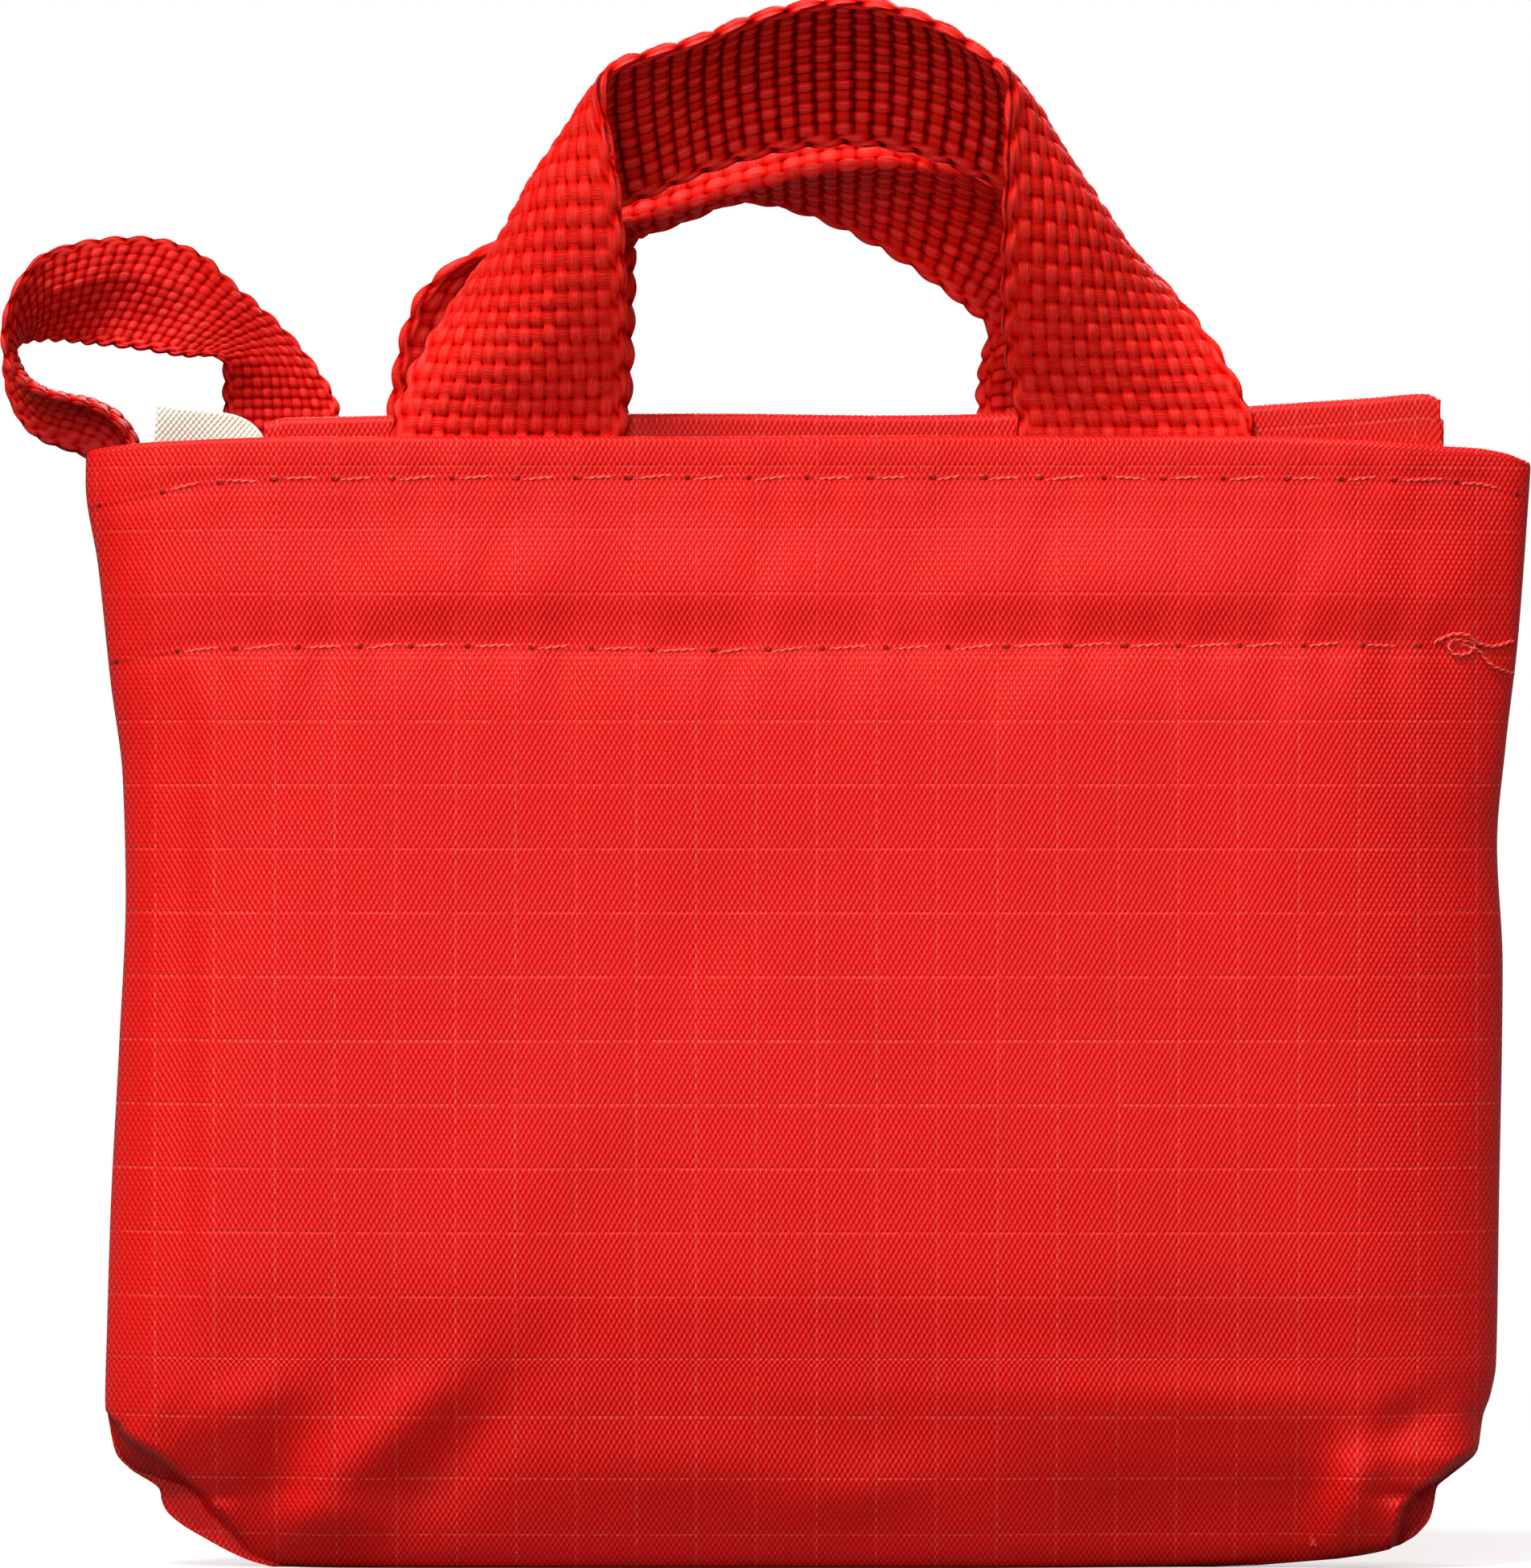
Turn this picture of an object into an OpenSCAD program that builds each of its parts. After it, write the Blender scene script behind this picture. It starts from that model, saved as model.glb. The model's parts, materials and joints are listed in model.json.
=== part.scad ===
// Foldable tote bag, packed into its own pouch with both carry handles standing out of the mouth.
// Frame: +Z up, +X to the wearer's right when facing the front, front face towards -Y.
// Origin: on the bottom seam, midway across the pouch. Millimetres.

/* [Pouch] */
// Width across the mouth
pouch_w = 154; // [150:1:160]
// Height from the bottom seam to the top of the hem
pouch_h = 120.7; // [118:0.1:126]
// Half depth of the pouch at its fullest point
belly = 12.4; // [12:0.1:15]
// Half depth of the mouth
mouth = 8.8; // [8.8:0.1:10]
// Thickness of the pouch cloth with its coating and loft
cloth_t = 0.8; // [0.6:0.05:0.9]
// Depth of the turned hem, from its top edge to the lower row of stitching
hem_h = 22.1; // [18:0.1:26]

/* [Stitching] */
// Length of one stitch, hole to hole
stitch_pitch = 6.3; // [4:0.1:8]
// Thread radius
thread_r = 0.3; // [0.2:0.05:0.4]
// Distance from the hem's top edge to the upper row
upper_row = 4.0; // [3:0.1:6]

/* [Carry handles] */
// Webbing width
strap_w = 25; // [24:0.5:26]
// Webbing thickness
strap_t = 1.5; // [1.2:0.1:1.6]
// Length of webbing sewn down inside the pouch
tail_h = 24; // [20:1:30]

/* [Hanging loop] */
// Loop webbing width
loop_w = 12.5; // [11:0.5:13]
// Loop webbing thickness
loop_t = 0.9; // [0.7:0.1:1.0]

/* [Packed tote] */
// Cloth layer thickness in the folded stack
ply_t = 0.6; // [0.5:0.05:0.65]
// Spacing of the folded layers
ply_pitch = 0.8; // [0.8:0.01:0.82]
// Left end of the folded stack
stack_x0 = -57.8; // [-60:0.1:-50]
// Right end of the folded stack
stack_x1 = 67.4; // [60:0.1:68]

/* [Care label] */
// Label width
label_w = 11.8; // [10:0.1:14]
// Label thickness, both plies
label_t = 0.7; // [0.4:0.1:0.9]

/* [Hidden] */
$fn = 40;
CLOTH = "#e8201c";
WEB = "#c81410";
THREAD = "#ee3a34";
eps = 0.01;
dz = pouch_h - 120.7;

// ---- shape of the pouch -------------------------------------------------
// half width of the pouch at a height, and its half depth there
HALF_W = [[0, 57], [4, 64.5], [8, 69], [13, 73.4], [20, 74.6], [30, 74.7], [42, 74.4], [58, 73.7], [72, 73.2], [84, 73.5], [95, 74.7], [107, 75.9], [116, 76.8], [121, 77]];
DEPTH = [[0, 0.72], [5, 0.84], [12, 0.93], [22, 0.98], [38, 1], [60, 0.975], [80, 0.91], [98, 0.82], [110, 0.755], [121, 0.71]];
function hw(z) = lookup(z - dz * z / pouch_h, HALF_W) * pouch_w / 154;
function depth(z) = let(k = lookup(z - dz * z / pouch_h, DEPTH), a = (k - 0.71) / 0.29) mouth + (belly - mouth) * max(0, a) + (a < 0 ? a * 4 : 0);
function swell(u) = sqrt(max(0, 1 - pow(abs(u), 6)));
// half the gap left between the two panels where they meet at a seam
seam_gap = 0.03;

// the outer face of one half of the pouch: u runs across, v runs from the hem's top edge down and under to the bottom seam
z_turn = 9;
function wall(u, v, inset = 0) =
    let(
        va = 0.8, vb = 0.93,
        z = v < va ? pouch_h - (pouch_h - z_turn) * v / va : v < vb ? z_turn - (z_turn - inset) * sin(90 * (v - va) / (vb - va)) : inset,
        full = (depth(max(z, z_turn)) - inset) * swell(u),
        r = 8 * swell(u),
        y = v < va ? full : v < vb ? full - r * (1 - cos(90 * (v - va) / (vb - va))) : (full - r) * (1 - (v - vb) / (1 - vb)),
        x = (hw(z) - inset) * u
    ) [x, -max(y, seam_gap), z];
// a row of v values with a closer spacing where the cloth turns under
VROW = [for (i = [0:12]) 0.8 * i / 12, for (i = [1:5]) 0.8 + 0.13 * i / 5, 0.965, 1];
UROW = [for (i = [-13:13]) let(a = i / 13) sign(a) * (1 - pow(1 - abs(a), 1.8))];

// closed sheet between two grids of points
module sheet(A, B) {
    n = len(A);
    m = len(A[0]);
    pts = concat([for (r = A) each r], [for (r = B) each r]);
    o = n * m;
    quads = concat(
        [for (i = [0:n - 2], j = [0:m - 2]) [i * m + j, i * m + j + 1, (i + 1) * m + j + 1, (i + 1) * m + j]],
        [for (i = [0:n - 2], j = [0:m - 2]) [o + (i + 1) * m + j, o + (i + 1) * m + j + 1, o + i * m + j + 1, o + i * m + j]],
        [for (j = [0:m - 2]) [o + j, o + j + 1, j + 1, j]],
        [for (j = [0:m - 2]) [(n - 1) * m + j, (n - 1) * m + j + 1, o + (n - 1) * m + j + 1, o + (n - 1) * m + j]],
        [for (i = [0:n - 2]) [i * m, (i + 1) * m, o + (i + 1) * m, o + i * m]],
        [for (i = [0:n - 2]) [o + i * m + m - 1, o + (i + 1) * m + m - 1, (i + 1) * m + m - 1, i * m + m - 1]]
    );
    tris = [for (q = quads) each [[q[0], q[1], q[2]], [q[0], q[2], q[3]]]];
    polyhedron(points = pts, faces = tris, convexity = 6);
}
module front_half() { children(); }
module back_half() { mirror([0, 1, 0]) children(); }

module panel() sheet(
    [for (v = VROW) [for (u = UROW) wall(u, v, cloth_t)]],
    [for (v = VROW) [for (u = UROW) wall(u, v, 0)]]
);
// the turned-in layer of the hem, behind the panel
FROW = [for (i = [0:4]) i / 4];
facing_t = 0.6;
function hem_pt(u, z, inset) = [(hw(z) - inset) * u, -max((depth(z) - inset) * swell(u), 0.2), z];
module facing() sheet(
    [for (f = FROW) [for (u = UROW) hem_pt(u * 0.95, pouch_h - 0.3 - f * (hem_h + 1.4), cloth_t + 0.1 + 0.6 * pow(abs(u), 6) + facing_t)]],
    [for (f = FROW) [for (u = UROW) hem_pt(u * 0.95, pouch_h - 0.3 - f * (hem_h + 1.4), cloth_t + 0.1 + 0.6 * pow(abs(u), 6))]]
);

// ---- thread -------------------------------------------------------------
module rod(a, b, r) {
    d = b - a;
    l = norm(d);
    translate(a) rotate([0, acos(d[2] / l), atan2(d[1], d[0])]) translate([0, 0, 0]) cylinder(h = l, r = r, $fn = 16);
}
// one row of lockstitch lying on the pouch wall at height z
module stitch_row(z, x0, x1) {
    n = floor((x1 - x0) / stitch_pitch);
    for (i = [0:n - 1]) {
        a = x0 + i * stitch_pitch + 0.5;
        b = a + stitch_pitch - 1.0;
        pa = hem_pt(a / hw(z), z, 0);
        pb = hem_pt(b / hw(z), z, 0);
        rod(pa + [0, -0.05, 0], pb + [0, -0.05, 0], thread_r);
    }
}

// ---- webbing ------------------------------------------------------------
function cr(a, b, c, d, t) = 0.5 * ((2 * b) + (c - a) * t + (2 * a - 5 * b + 4 * c - d) * t * t + (3 * b - a - 3 * c + d) * t * t * t);
function at(T, i) = T[max(0, min(len(T) - 1, i))];
function spline(T, s, e) = let(i = min(floor(s), len(T) - 2), f = s - i) cr(at(T, i - 1)[e], at(T, i)[e], at(T, i + 1)[e], at(T, i + 2)[e], f);
function unit(v) = v / max(norm(v), 1e-6);
function mid(T, s) = (spline(T, s, 0) + spline(T, s, 1)) / 2;
function along(T, s) = unit(mid(T, min(s + 0.08, len(T) - 1)) - mid(T, max(s - 0.08, 0)));
// a point of the webbing's middle surface: s along, v across; the strip keeps its width, so a short chord bows
function web(T, s, v, w, flip) =
    let(p = spline(T, s, 0), q = spline(T, s, 1), c = min(norm(q - p), w - 0.02), h = sqrt(3 * c * (w - c) / 8),
        n = unit(cross(q - p, along(T, s))) * flip)
    p + (q - p) * v + n * 4 * h * v * (1 - v);
function web_n(T, s, v, w, flip) =
    let(a = web(T, s, min(v + 0.05, 1), w, flip) - web(T, s, max(v - 0.05, 0), w, flip),
        b = web(T, min(s + 0.06, len(T) - 1), v, w, flip) - web(T, max(s - 0.06, 0), v, w, flip)) unit(cross(a, b));
module webbing(T, w, t, flip, per = 3, across = 6) {
    n = (len(T) - 1) * per;
    sheet(
        [for (i = [0:n]) [for (j = [0:across]) let(s = i / per, v = j / across) web(T, s, v, w, flip) - web_n(T, s, v, w, flip) * t / 2]],
        [for (i = [0:n]) [for (j = [0:across]) let(s = i / per, v = j / across) web(T, s, v, w, flip) + web_n(T, s, v, w, flip) * t / 2]]
    );
}
function lift(T, d) = [for (r = T) [r[0] + [0, 0, d], r[1] + [0, 0, d]]];

// each row is the inner edge then the outer edge of the strap, going from the left foot over the top to the right foot
hy = 5.6;
FRONT = lift([
    [[-19.4, -hy, 122.5], [-44.4, -hy, 122.5]],
    [[-19.2, -8.4, 128], [-42.0, -4.6, 127.6]],
    [[-19.0, -12.8, 133.4], [-38.4, -1.6, 133.0]],
    [[-19.0, -16.8, 139.6], [-34.4, -0.8, 138.4]],
    [[-19.4, -19.4, 146.5], [-30.2, -0.7, 142.4]],
    [[-20.7, -20.6, 153.4], [-25.8, -0.7, 144.8]],
    [[-21.9, -21.0, 158.6], [-21.9, -0.7, 145.6]],
    [[-19.6, -21.0, 161.0], [-18.4, -0.7, 146.4]],
    [[-11.6, -20.6, 163.4], [-11.2, -0.7, 149.4]],
    [[-3.9, -20.3, 166.4], [-3.6, -0.7, 151.6]],
    [[4.5, -20.2, 167.6], [4.6, -0.7, 152.6]],
    [[12.6, -20.5, 165.6], [12.4, -0.7, 151.6]],
    [[18.8, -21.0, 161.8], [19.6, -0.7, 148.6]],
    [[21.2, -21.0, 159.2], [24.4, -0.7, 146.4]],
    [[21.2, -20.5, 153.2], [29.0, -0.7, 144.2]],
    [[20.9, -19.2, 146.2], [33.6, -0.7, 141.2]],
    [[20.6, -16.6, 139.6], [37.8, -0.8, 137.4]],
    [[20.5, -12.6, 133.4], [42.0, -1.6, 132.8]],
    [[21.2, -8.4, 128], [45.4, -4.7, 127.8]],
    [[22.6, -hy, 122.5], [47.6, -hy, 122.5]]
], dz);
BACK = lift([
    [[-19.6, hy, 122.5], [-44.6, hy, 122.5]],
    [[-18.9, 8.6, 128], [-43.8, 4.0, 127.8]],
    [[-18.7, 12.6, 133.6], [-42.2, 2.4, 133.4]],
    [[-18.7, 16.8, 139.0], [-38.6, 1.2, 138.2]],
    [[-18.9, 20.4, 144.4], [-32.0, 0.9, 141.2]],
    [[-18.6, 22.8, 148.6], [-25.0, 0.8, 142.6]],
    [[-15.6, 24.0, 150.4], [-18.2, 0.7, 143.8]],
    [[-10.4, 24.4, 150.8], [-10.8, 0.7, 146.2]],
    [[-4.8, 24.6, 149.0], [-4.6, 0.7, 148.6]],
    [[0.6, 24.4, 146.4], [1.0, 0.7, 150.4]],
    [[5.8, 24.0, 143.6], [6.6, 0.7, 151.2]],
    [[10.8, 23.0, 140.6], [12.4, 0.7, 150.9]],
    [[15.4, 21.2, 137.4], [18.6, 0.7, 149.2]],
    [[18.6, 18.2, 134.0], [25.6, 0.8, 145.6]],
    [[18.8, 13.8, 130.2], [33.0, 1.2, 139.6]],
    [[18.5, 9.4, 126.4], [40.0, 3.2, 131.2]],
    [[18.7, hy, 122.5], [43.7, hy, 122.5]]
], dz);
// near edge then far edge, from the foot behind the folded stack over the top to the foot at the left corner
LOOP = lift([
    [[-50.24, 6.2, 122.1], [-62.72, 5.25, 122.1]],
    [[-50.8, 7.7, 125.2], [-62.9, 4.7, 125.4]],
    [[-53.2, 10.0, 129.0], [-62.9, 2.2, 129.0]],
    [[-56.0, 10.1, 132.4], [-64.3, 1.2, 129.8]],
    [[-59.0, 8.8, 135.3], [-66.5, 1.0, 129.7]],
    [[-61.6, 7.2, 137.8], [-68.8, 1.4, 129.8]],
    [[-63.9, 6.2, 139.9], [-70.8, 2.2, 130.2]],
    [[-66.8, 5.0, 141.4], [-73.2, 2.8, 130.6]],
    [[-70.0, 4.2, 142.2], [-75.6, 3.4, 130.9]],
    [[-73.3, 3.0, 142.3], [-77.6, 4.6, 131.1]],
    [[-76.4, 1.8, 142.0], [-79.5, 5.6, 131.4]],
    [[-79.3, 0.4, 141.2], [-81.4, 6.6, 131.6]],
    [[-81.9, -1.0, 139.9], [-83.0, 7.4, 131.6]],
    [[-84.0, -2.6, 137.3], [-84.3, 7.8, 131.4]],
    [[-85.3, -3.6, 134.2], [-85.1, 8.2, 130.9]],
    [[-85.5, -4.0, 131.3], [-86.0, 8.2, 130.0]],
    [[-84.8, -4.2, 129.0], [-86.0, 7.8, 128.0]],
    [[-83.6, -4.2, 127.3], [-85.2, 7.2, 125.6]],
    [[-81.4, -4.1, 126.2], [-83.8, 6.6, 123.6]],
    [[-78.8, -3.8, 125.5], [-81.9, 5.8, 122.6]],
    [[-76.2, -3.0, 124.8], [-79.5, 4.8, 122.4]],
    [[-74.0, -1.9, 123.8], [-77.2, 3.4, 122.3]],
    [[-72.2, -0.8, 122.8], [-75.6, 2.2, 122.4]]
], dz);

module strap_end(x0, x1, y, z0, z1, t) translate([x0, y - t / 2, z0]) cube([x1 - x0, t, z1 - z0]);
// two sewn-down feet of a handle, below the fold line
module feet(T, y) {
    for (e = [T[0], T[len(T) - 1]])
        strap_end(min(e[0][0], e[1][0]), max(e[0][0], e[1][0]), y, pouch_h - tail_h, pouch_h + 0.9, strap_t);
}
module box_stitch(x0, x1, y, z0, z1) {
    m = 2.5;
    a = [x0 + m, y, z0 + m];
    b = [x1 - m, y, z0 + m];
    c = [x1 - m, y, z1];
    d = [x0 + m, y, z1];
    for (s = [[a, b], [b, c], [c, d], [d, a], [a, c], [b, d]]) rod(s[0], s[1], 0.18);
}
module box_stitches(T, y) for (e = [T[0], T[len(T) - 1]])
    box_stitch(min(e[0][0], e[1][0]), max(e[0][0], e[1][0]), y, pouch_h - tail_h, pouch_h - tail_h + 18);

// ---- folded tote --------------------------------------------------------
stack_z0 = 15;
stack_z1 = pouch_h - 4.5;
module fold_ring(y, z, r0, r1, up) translate([y, z]) intersection() {
    difference() { circle(r1, $fn = 32); circle(r0, $fn = 32); }
    translate([-r1 - 1, up ? 0 : -r1 - 1]) square([2 * r1 + 2, r1 + 1]);
}
// one tote panel as a zigzag of four layers; the outermost is the mouth end
module zigzag(ya, top) {
    r0 = (ply_pitch - ply_t) / 2;
    r1 = r0 + ply_t;
    for (k = [0:3]) translate([ya + k * ply_pitch - ply_t / 2, stack_z0]) square([ply_t, (k == 3 ? top : stack_z1) - stack_z0]);
    fold_ring(ya + 0.5 * ply_pitch, stack_z0 + eps, r0, r1, false);
    fold_ring(ya + 1.5 * ply_pitch, stack_z1 - eps, r0, r1, true);
    fold_ring(ya + 2.5 * ply_pitch, stack_z0 + eps, r0, r1, false);
}
module along_x(x0, x1) translate([x0, 0, 0]) rotate([90, 0, 90]) linear_extrude(height = x1 - x0) children();
module tote_panel() along_x(stack_x0, stack_x1) zigzag(1.3, pouch_h + 1.6);
module tote_hem(x0, x1, ztop, zr) along_x2(x0, x1, ztop, zr);
// the tote's own hem band, standing a little above the pouch mouth; its top edge rises to the right
module along_x2(x0, x1, ztop, zr) translate([0, 4.65, 0]) rotate([90, 0, 0]) linear_extrude(height = 0.55)
    polygon([[x0, pouch_h - 20], [x1, pouch_h - 20], [x1, zr], [x0 + (x1 - x0) * 0.78, ztop], [x0, ztop]]);

// ---- nodes --------------------------------------------------------------
module pouch_front_panel() color(CLOTH) front_half() panel();
module pouch_back_panel() color(CLOTH) back_half() panel();
module front_hem_facing() color(CLOTH) front_half() facing();
module back_hem_facing() color(CLOTH) back_half() facing();

// folded tape over the raw edges of a side seam, inside the pouch
module binding(side) color(WEB) {
    for (i = [0:5]) {
        z0 = 16 + i * 13;
        z1 = z0 + 13 - 0.0;
        xa = (hw(z0) - 1.6) * side;
        xb = (hw(z1) - 1.6) * side;
        translate([0, 0.35, 0]) rotate([90, 0, 0]) linear_extrude(height = 0.7)
            polygon([[xa, z0], [xb, z1], [xb - side * 3.2, z1], [xa - side * 3.2, z0]]);
    }
}
module side_binding_left() binding(-1);
module side_binding_right() binding(1);
module bottom_binding() color(WEB) translate([-50, -0.35, cloth_t + 0.15]) cube([100, 0.7, 4.5]);

module front_hem_upper_stitches() color(THREAD) stitch_row(pouch_h - upper_row, -hw(pouch_h) + 3, hw(pouch_h) - 2);
module front_hem_lower_stitches() color(THREAD) stitch_row(pouch_h - hem_h, -hw(pouch_h - hem_h) + 2, hw(pouch_h - hem_h) - 7);
module back_hem_upper_stitches() color(THREAD) back_half() stitch_row(pouch_h - upper_row, -hw(pouch_h) + 3, hw(pouch_h) - 2);
module back_hem_lower_stitches() color(THREAD) back_half() stitch_row(pouch_h - hem_h, -hw(pouch_h - hem_h) + 2, hw(pouch_h - hem_h) - 3);
module side_seam_stitches() color(THREAD) for (s = [-1, 1], i = [0:11])
    let(z = 18 + i * 6.2) translate([s * (hw(z + 2.5) - 3.2), 0, z]) rod([0, 0.5, 0], [0, 0.5, 5.2], 0.2);
// tape over the short seam that squares off each bottom corner, inside the pouch
module corner_bindings() color(WEB) for (s = [-1, 1]) translate([s * 54 - 0.35, -3.8, 2.4]) cube([0.7, 7.6, 3.2]);
module corner_stitches() color(THREAD) for (s = [-1, 1], i = [0:1])
    let(y0 = -3.7 + i * 3.9) rod([s * 53.5, y0, 3.8], [s * 53.5, y0 + 3.4, 3.8], 0.2);
// the end of the lower row of stitching, left untrimmed at the right edge: one small curl, then out to the edge
TAIL = [[-7.2, 0], [-6.6, 0.6], [-5.6, 1.3], [-4.6, 0.7], [-4.7, -0.4], [-5.7, -0.8], [-6.5, -0.3], [-6.0, -1.6], [-4.6, -2.3], [-2.8, -2.9], [-1.2, -3.3]];
module loose_thread_tail() color(THREAD) {
    zt = pouch_h - hem_h;
    per = 3;
    n = (len(TAIL) - 1) * per;
    c = [for (i = [0:n]) let(s = i / per, x = hw(zt) + spline(TAIL, s, 0), z = zt + spline(TAIL, s, 1)) hem_pt(x / hw(z), z, 0) + [0, -0.36 - 0.5 * i / n, 0]];
    ring = [for (i = [0:n]) let(t = unit(c[min(i + 1, n)] - c[max(i - 1, 0)]), a = unit(cross(t, [0, 1, 0])), b = cross(t, a))
        [for (k = [0:7]) c[i] + 0.2 * (a * cos(45 * k) + b * sin(45 * k))]];
    polyhedron(points = [for (r = ring) each r], faces = concat(
        [[for (k = [0:7]) k]],
        [[for (k = [7:-1:0]) n * 8 + k]],
        [for (i = [0:n - 1], k = [0:7]) each [[i * 8 + k, (i + 1) * 8 + k, (i + 1) * 8 + (k + 1) % 8], [i * 8 + k, (i + 1) * 8 + (k + 1) % 8, i * 8 + (k + 1) % 8]]]
    ));
}

module loop_sewn_ends() color(WEB) {
    // right foot, slightly turned, and left foot, both held in the back hem
    translate([-62.7, 5.1, pouch_h - 14]) rotate([0, 0, atan2(1.0, 12.4)]) translate([0, -loop_t / 2, 0]) cube([12.4, loop_t, 14.6]);
    translate([-74.6, 1.4, pouch_h - 12]) translate([0, -loop_t / 2, 0]) cube([4.6, loop_t, 11.6]);
}
module loop_bartacks() color(THREAD) {
    for (z = [pouch_h - 11, pouch_h - 9]) {
        translate([-61.4, 4.62, z]) rotate([0, 90, atan2(1.0, 12.4)]) cylinder(h = 10, r = 0.2, $fn = 16);
        translate([-74.2, 0.85, z]) rotate([0, 90, 0]) cylinder(h = 3.8, r = 0.2, $fn = 16);
    }
}
label_x = -70;
label_y = -3.4;
module label_sewn_end() color("#e4e0d2") translate([label_x, label_y - label_t / 2, pouch_h - 20.5]) cube([label_w, label_t, 20.4]);
module label_stitches() color(THREAD) for (i = [0:2]) rod([label_x + 1.4 + i * 3.4, label_y - label_t / 2 - 0.1, pouch_h - 17], [label_x + 3.8 + i * 3.4, label_y - label_t / 2 - 0.1, pouch_h - 17], 0.16);
// the part of the label that shows: its top edge falls to a rounded corner
module care_label() color("#e4e0d2") translate([0, label_y + label_t / 2, 0]) rotate([90, 0, 0]) linear_extrude(height = label_t)
    polygon([[label_x, pouch_h + 0.6], [label_x + label_w, pouch_h + 0.6],
        for (a = [0:15:60]) [label_x + label_w - 3 + 3 * cos(a), pouch_h + 0.6 + 2.2 * sin(a)],
        [label_x + 0.4, pouch_h + 3.6]]);

module hanging_loop() color(WEB) webbing(LOOP, loop_w, loop_t, -1, 3, 4);

module tote_front_panel() color(CLOTH) mirror([0, 1, 0]) tote_panel();
module tote_back_panel() color(CLOTH) tote_panel();
module tote_base_panel() color(CLOTH) along_x(stack_x0 + 2, stack_x1 - 2) {
    for (s = [-1, 1]) translate([s * 0.5 - 0.3, stack_z0 + 1]) square([0.6, stack_z1 - stack_z0 - 4]);
    fold_ring(0, stack_z0 + 1 + eps, 0.2, 0.8, false);
}
module tote_front_hem() color(CLOTH) mirror([0, 1, 0]) tote_hem(stack_x0, stack_x1, pouch_h + 2.9, pouch_h + 4.6);
module tote_back_hem() color(CLOTH) tote_hem(stack_x0 + 1.2, stack_x1 + 0.2, pouch_h + 2.2, pouch_h + 3.0);
module tote_hem_stitches() color(THREAD) for (s = [-1, 1], i = [0:18]) let(x = stack_x0 + 3 + i * 6.3)
    if (abs(abs(x + 2.6) - 33) > 16.5) rod([x, s * 4.66, pouch_h - 15], [x + 5.2, s * 4.66, pouch_h - 15], 0.16);

module front_handle_sewn_ends() color(WEB) feet(FRONT, -hy);
module back_handle_sewn_ends() color(WEB) feet(BACK, hy);
module front_handle_box_stitches() color(THREAD) box_stitches(FRONT, -hy - strap_t / 2);
module back_handle_box_stitches() color(THREAD) box_stitches(BACK, hy + strap_t / 2);
module front_handle() color(WEB) webbing(FRONT, strap_w, strap_t, -1);
module back_handle() color(WEB) webbing(BACK, strap_w, strap_t, 1);

pouch_front_panel();
pouch_back_panel();
front_hem_facing();
back_hem_facing();
side_binding_left();
side_binding_right();
bottom_binding();
front_hem_upper_stitches();
front_hem_lower_stitches();
back_hem_upper_stitches();
back_hem_lower_stitches();
side_seam_stitches();
corner_bindings();
corner_stitches();
loose_thread_tail();
loop_sewn_ends();
loop_bartacks();
label_sewn_end();
label_stitches();
hanging_loop();
care_label();
tote_front_panel();
tote_back_panel();
tote_base_panel();
tote_front_hem();
tote_back_hem();
tote_hem_stitches();
front_handle_sewn_ends();
back_handle_sewn_ends();
front_handle_box_stitches();
back_handle_box_stitches();
front_handle();
back_handle();
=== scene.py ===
import json
import math

import bpy
import numpy as np
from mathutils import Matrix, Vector


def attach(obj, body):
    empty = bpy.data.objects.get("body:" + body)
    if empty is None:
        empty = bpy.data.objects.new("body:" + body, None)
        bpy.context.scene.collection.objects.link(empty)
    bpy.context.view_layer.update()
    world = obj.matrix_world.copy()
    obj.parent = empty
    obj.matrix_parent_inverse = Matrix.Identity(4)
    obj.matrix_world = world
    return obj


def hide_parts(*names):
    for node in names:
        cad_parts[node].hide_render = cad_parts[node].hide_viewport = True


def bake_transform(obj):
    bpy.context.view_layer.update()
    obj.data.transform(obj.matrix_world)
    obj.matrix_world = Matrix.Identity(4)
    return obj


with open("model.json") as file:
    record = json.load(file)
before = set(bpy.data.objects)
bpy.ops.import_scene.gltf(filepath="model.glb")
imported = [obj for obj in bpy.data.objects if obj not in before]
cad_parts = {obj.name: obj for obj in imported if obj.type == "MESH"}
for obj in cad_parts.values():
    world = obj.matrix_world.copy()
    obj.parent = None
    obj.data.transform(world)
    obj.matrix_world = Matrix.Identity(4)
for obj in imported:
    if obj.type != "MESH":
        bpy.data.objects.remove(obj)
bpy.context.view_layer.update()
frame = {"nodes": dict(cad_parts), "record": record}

MM = 0.001
TAU = 2 * math.pi

# ---------------------------------------------------------------- mesh helpers


def smooth(a, b, x):
    t = np.clip((np.asarray(x, float) - a) / (b - a), 0, 1)
    return t * t * (3 - 2 * t)


def table(rows, x):
    """Smooth (monotone where the rows are) lookup of y at x."""
    rows = np.array(rows, float)
    xs, ys = rows[:, 0], rows[:, 1]
    x = np.asarray(x, float)
    h = np.diff(xs)
    d = np.diff(ys) / h
    m = np.zeros(len(xs))
    m[0], m[-1] = d[0], d[-1]
    for i in range(1, len(xs) - 1):
        m[i] = 0 if d[i - 1] * d[i] <= 0 else 2 * d[i - 1] * d[i] / (d[i - 1] + d[i])
    i = np.clip(np.searchsorted(xs, x) - 1, 0, len(xs) - 2)
    t = np.clip((x - xs[i]) / h[i], 0, 1)
    a, b = ys[i], ys[i + 1]
    return (
        a * (2 * t**3 - 3 * t**2 + 1)
        + b * (-2 * t**3 + 3 * t**2)
        + h[i] * (m[i] * (t**3 - 2 * t**2 + t) + m[i + 1] * (t**3 - t**2))
    )


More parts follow.
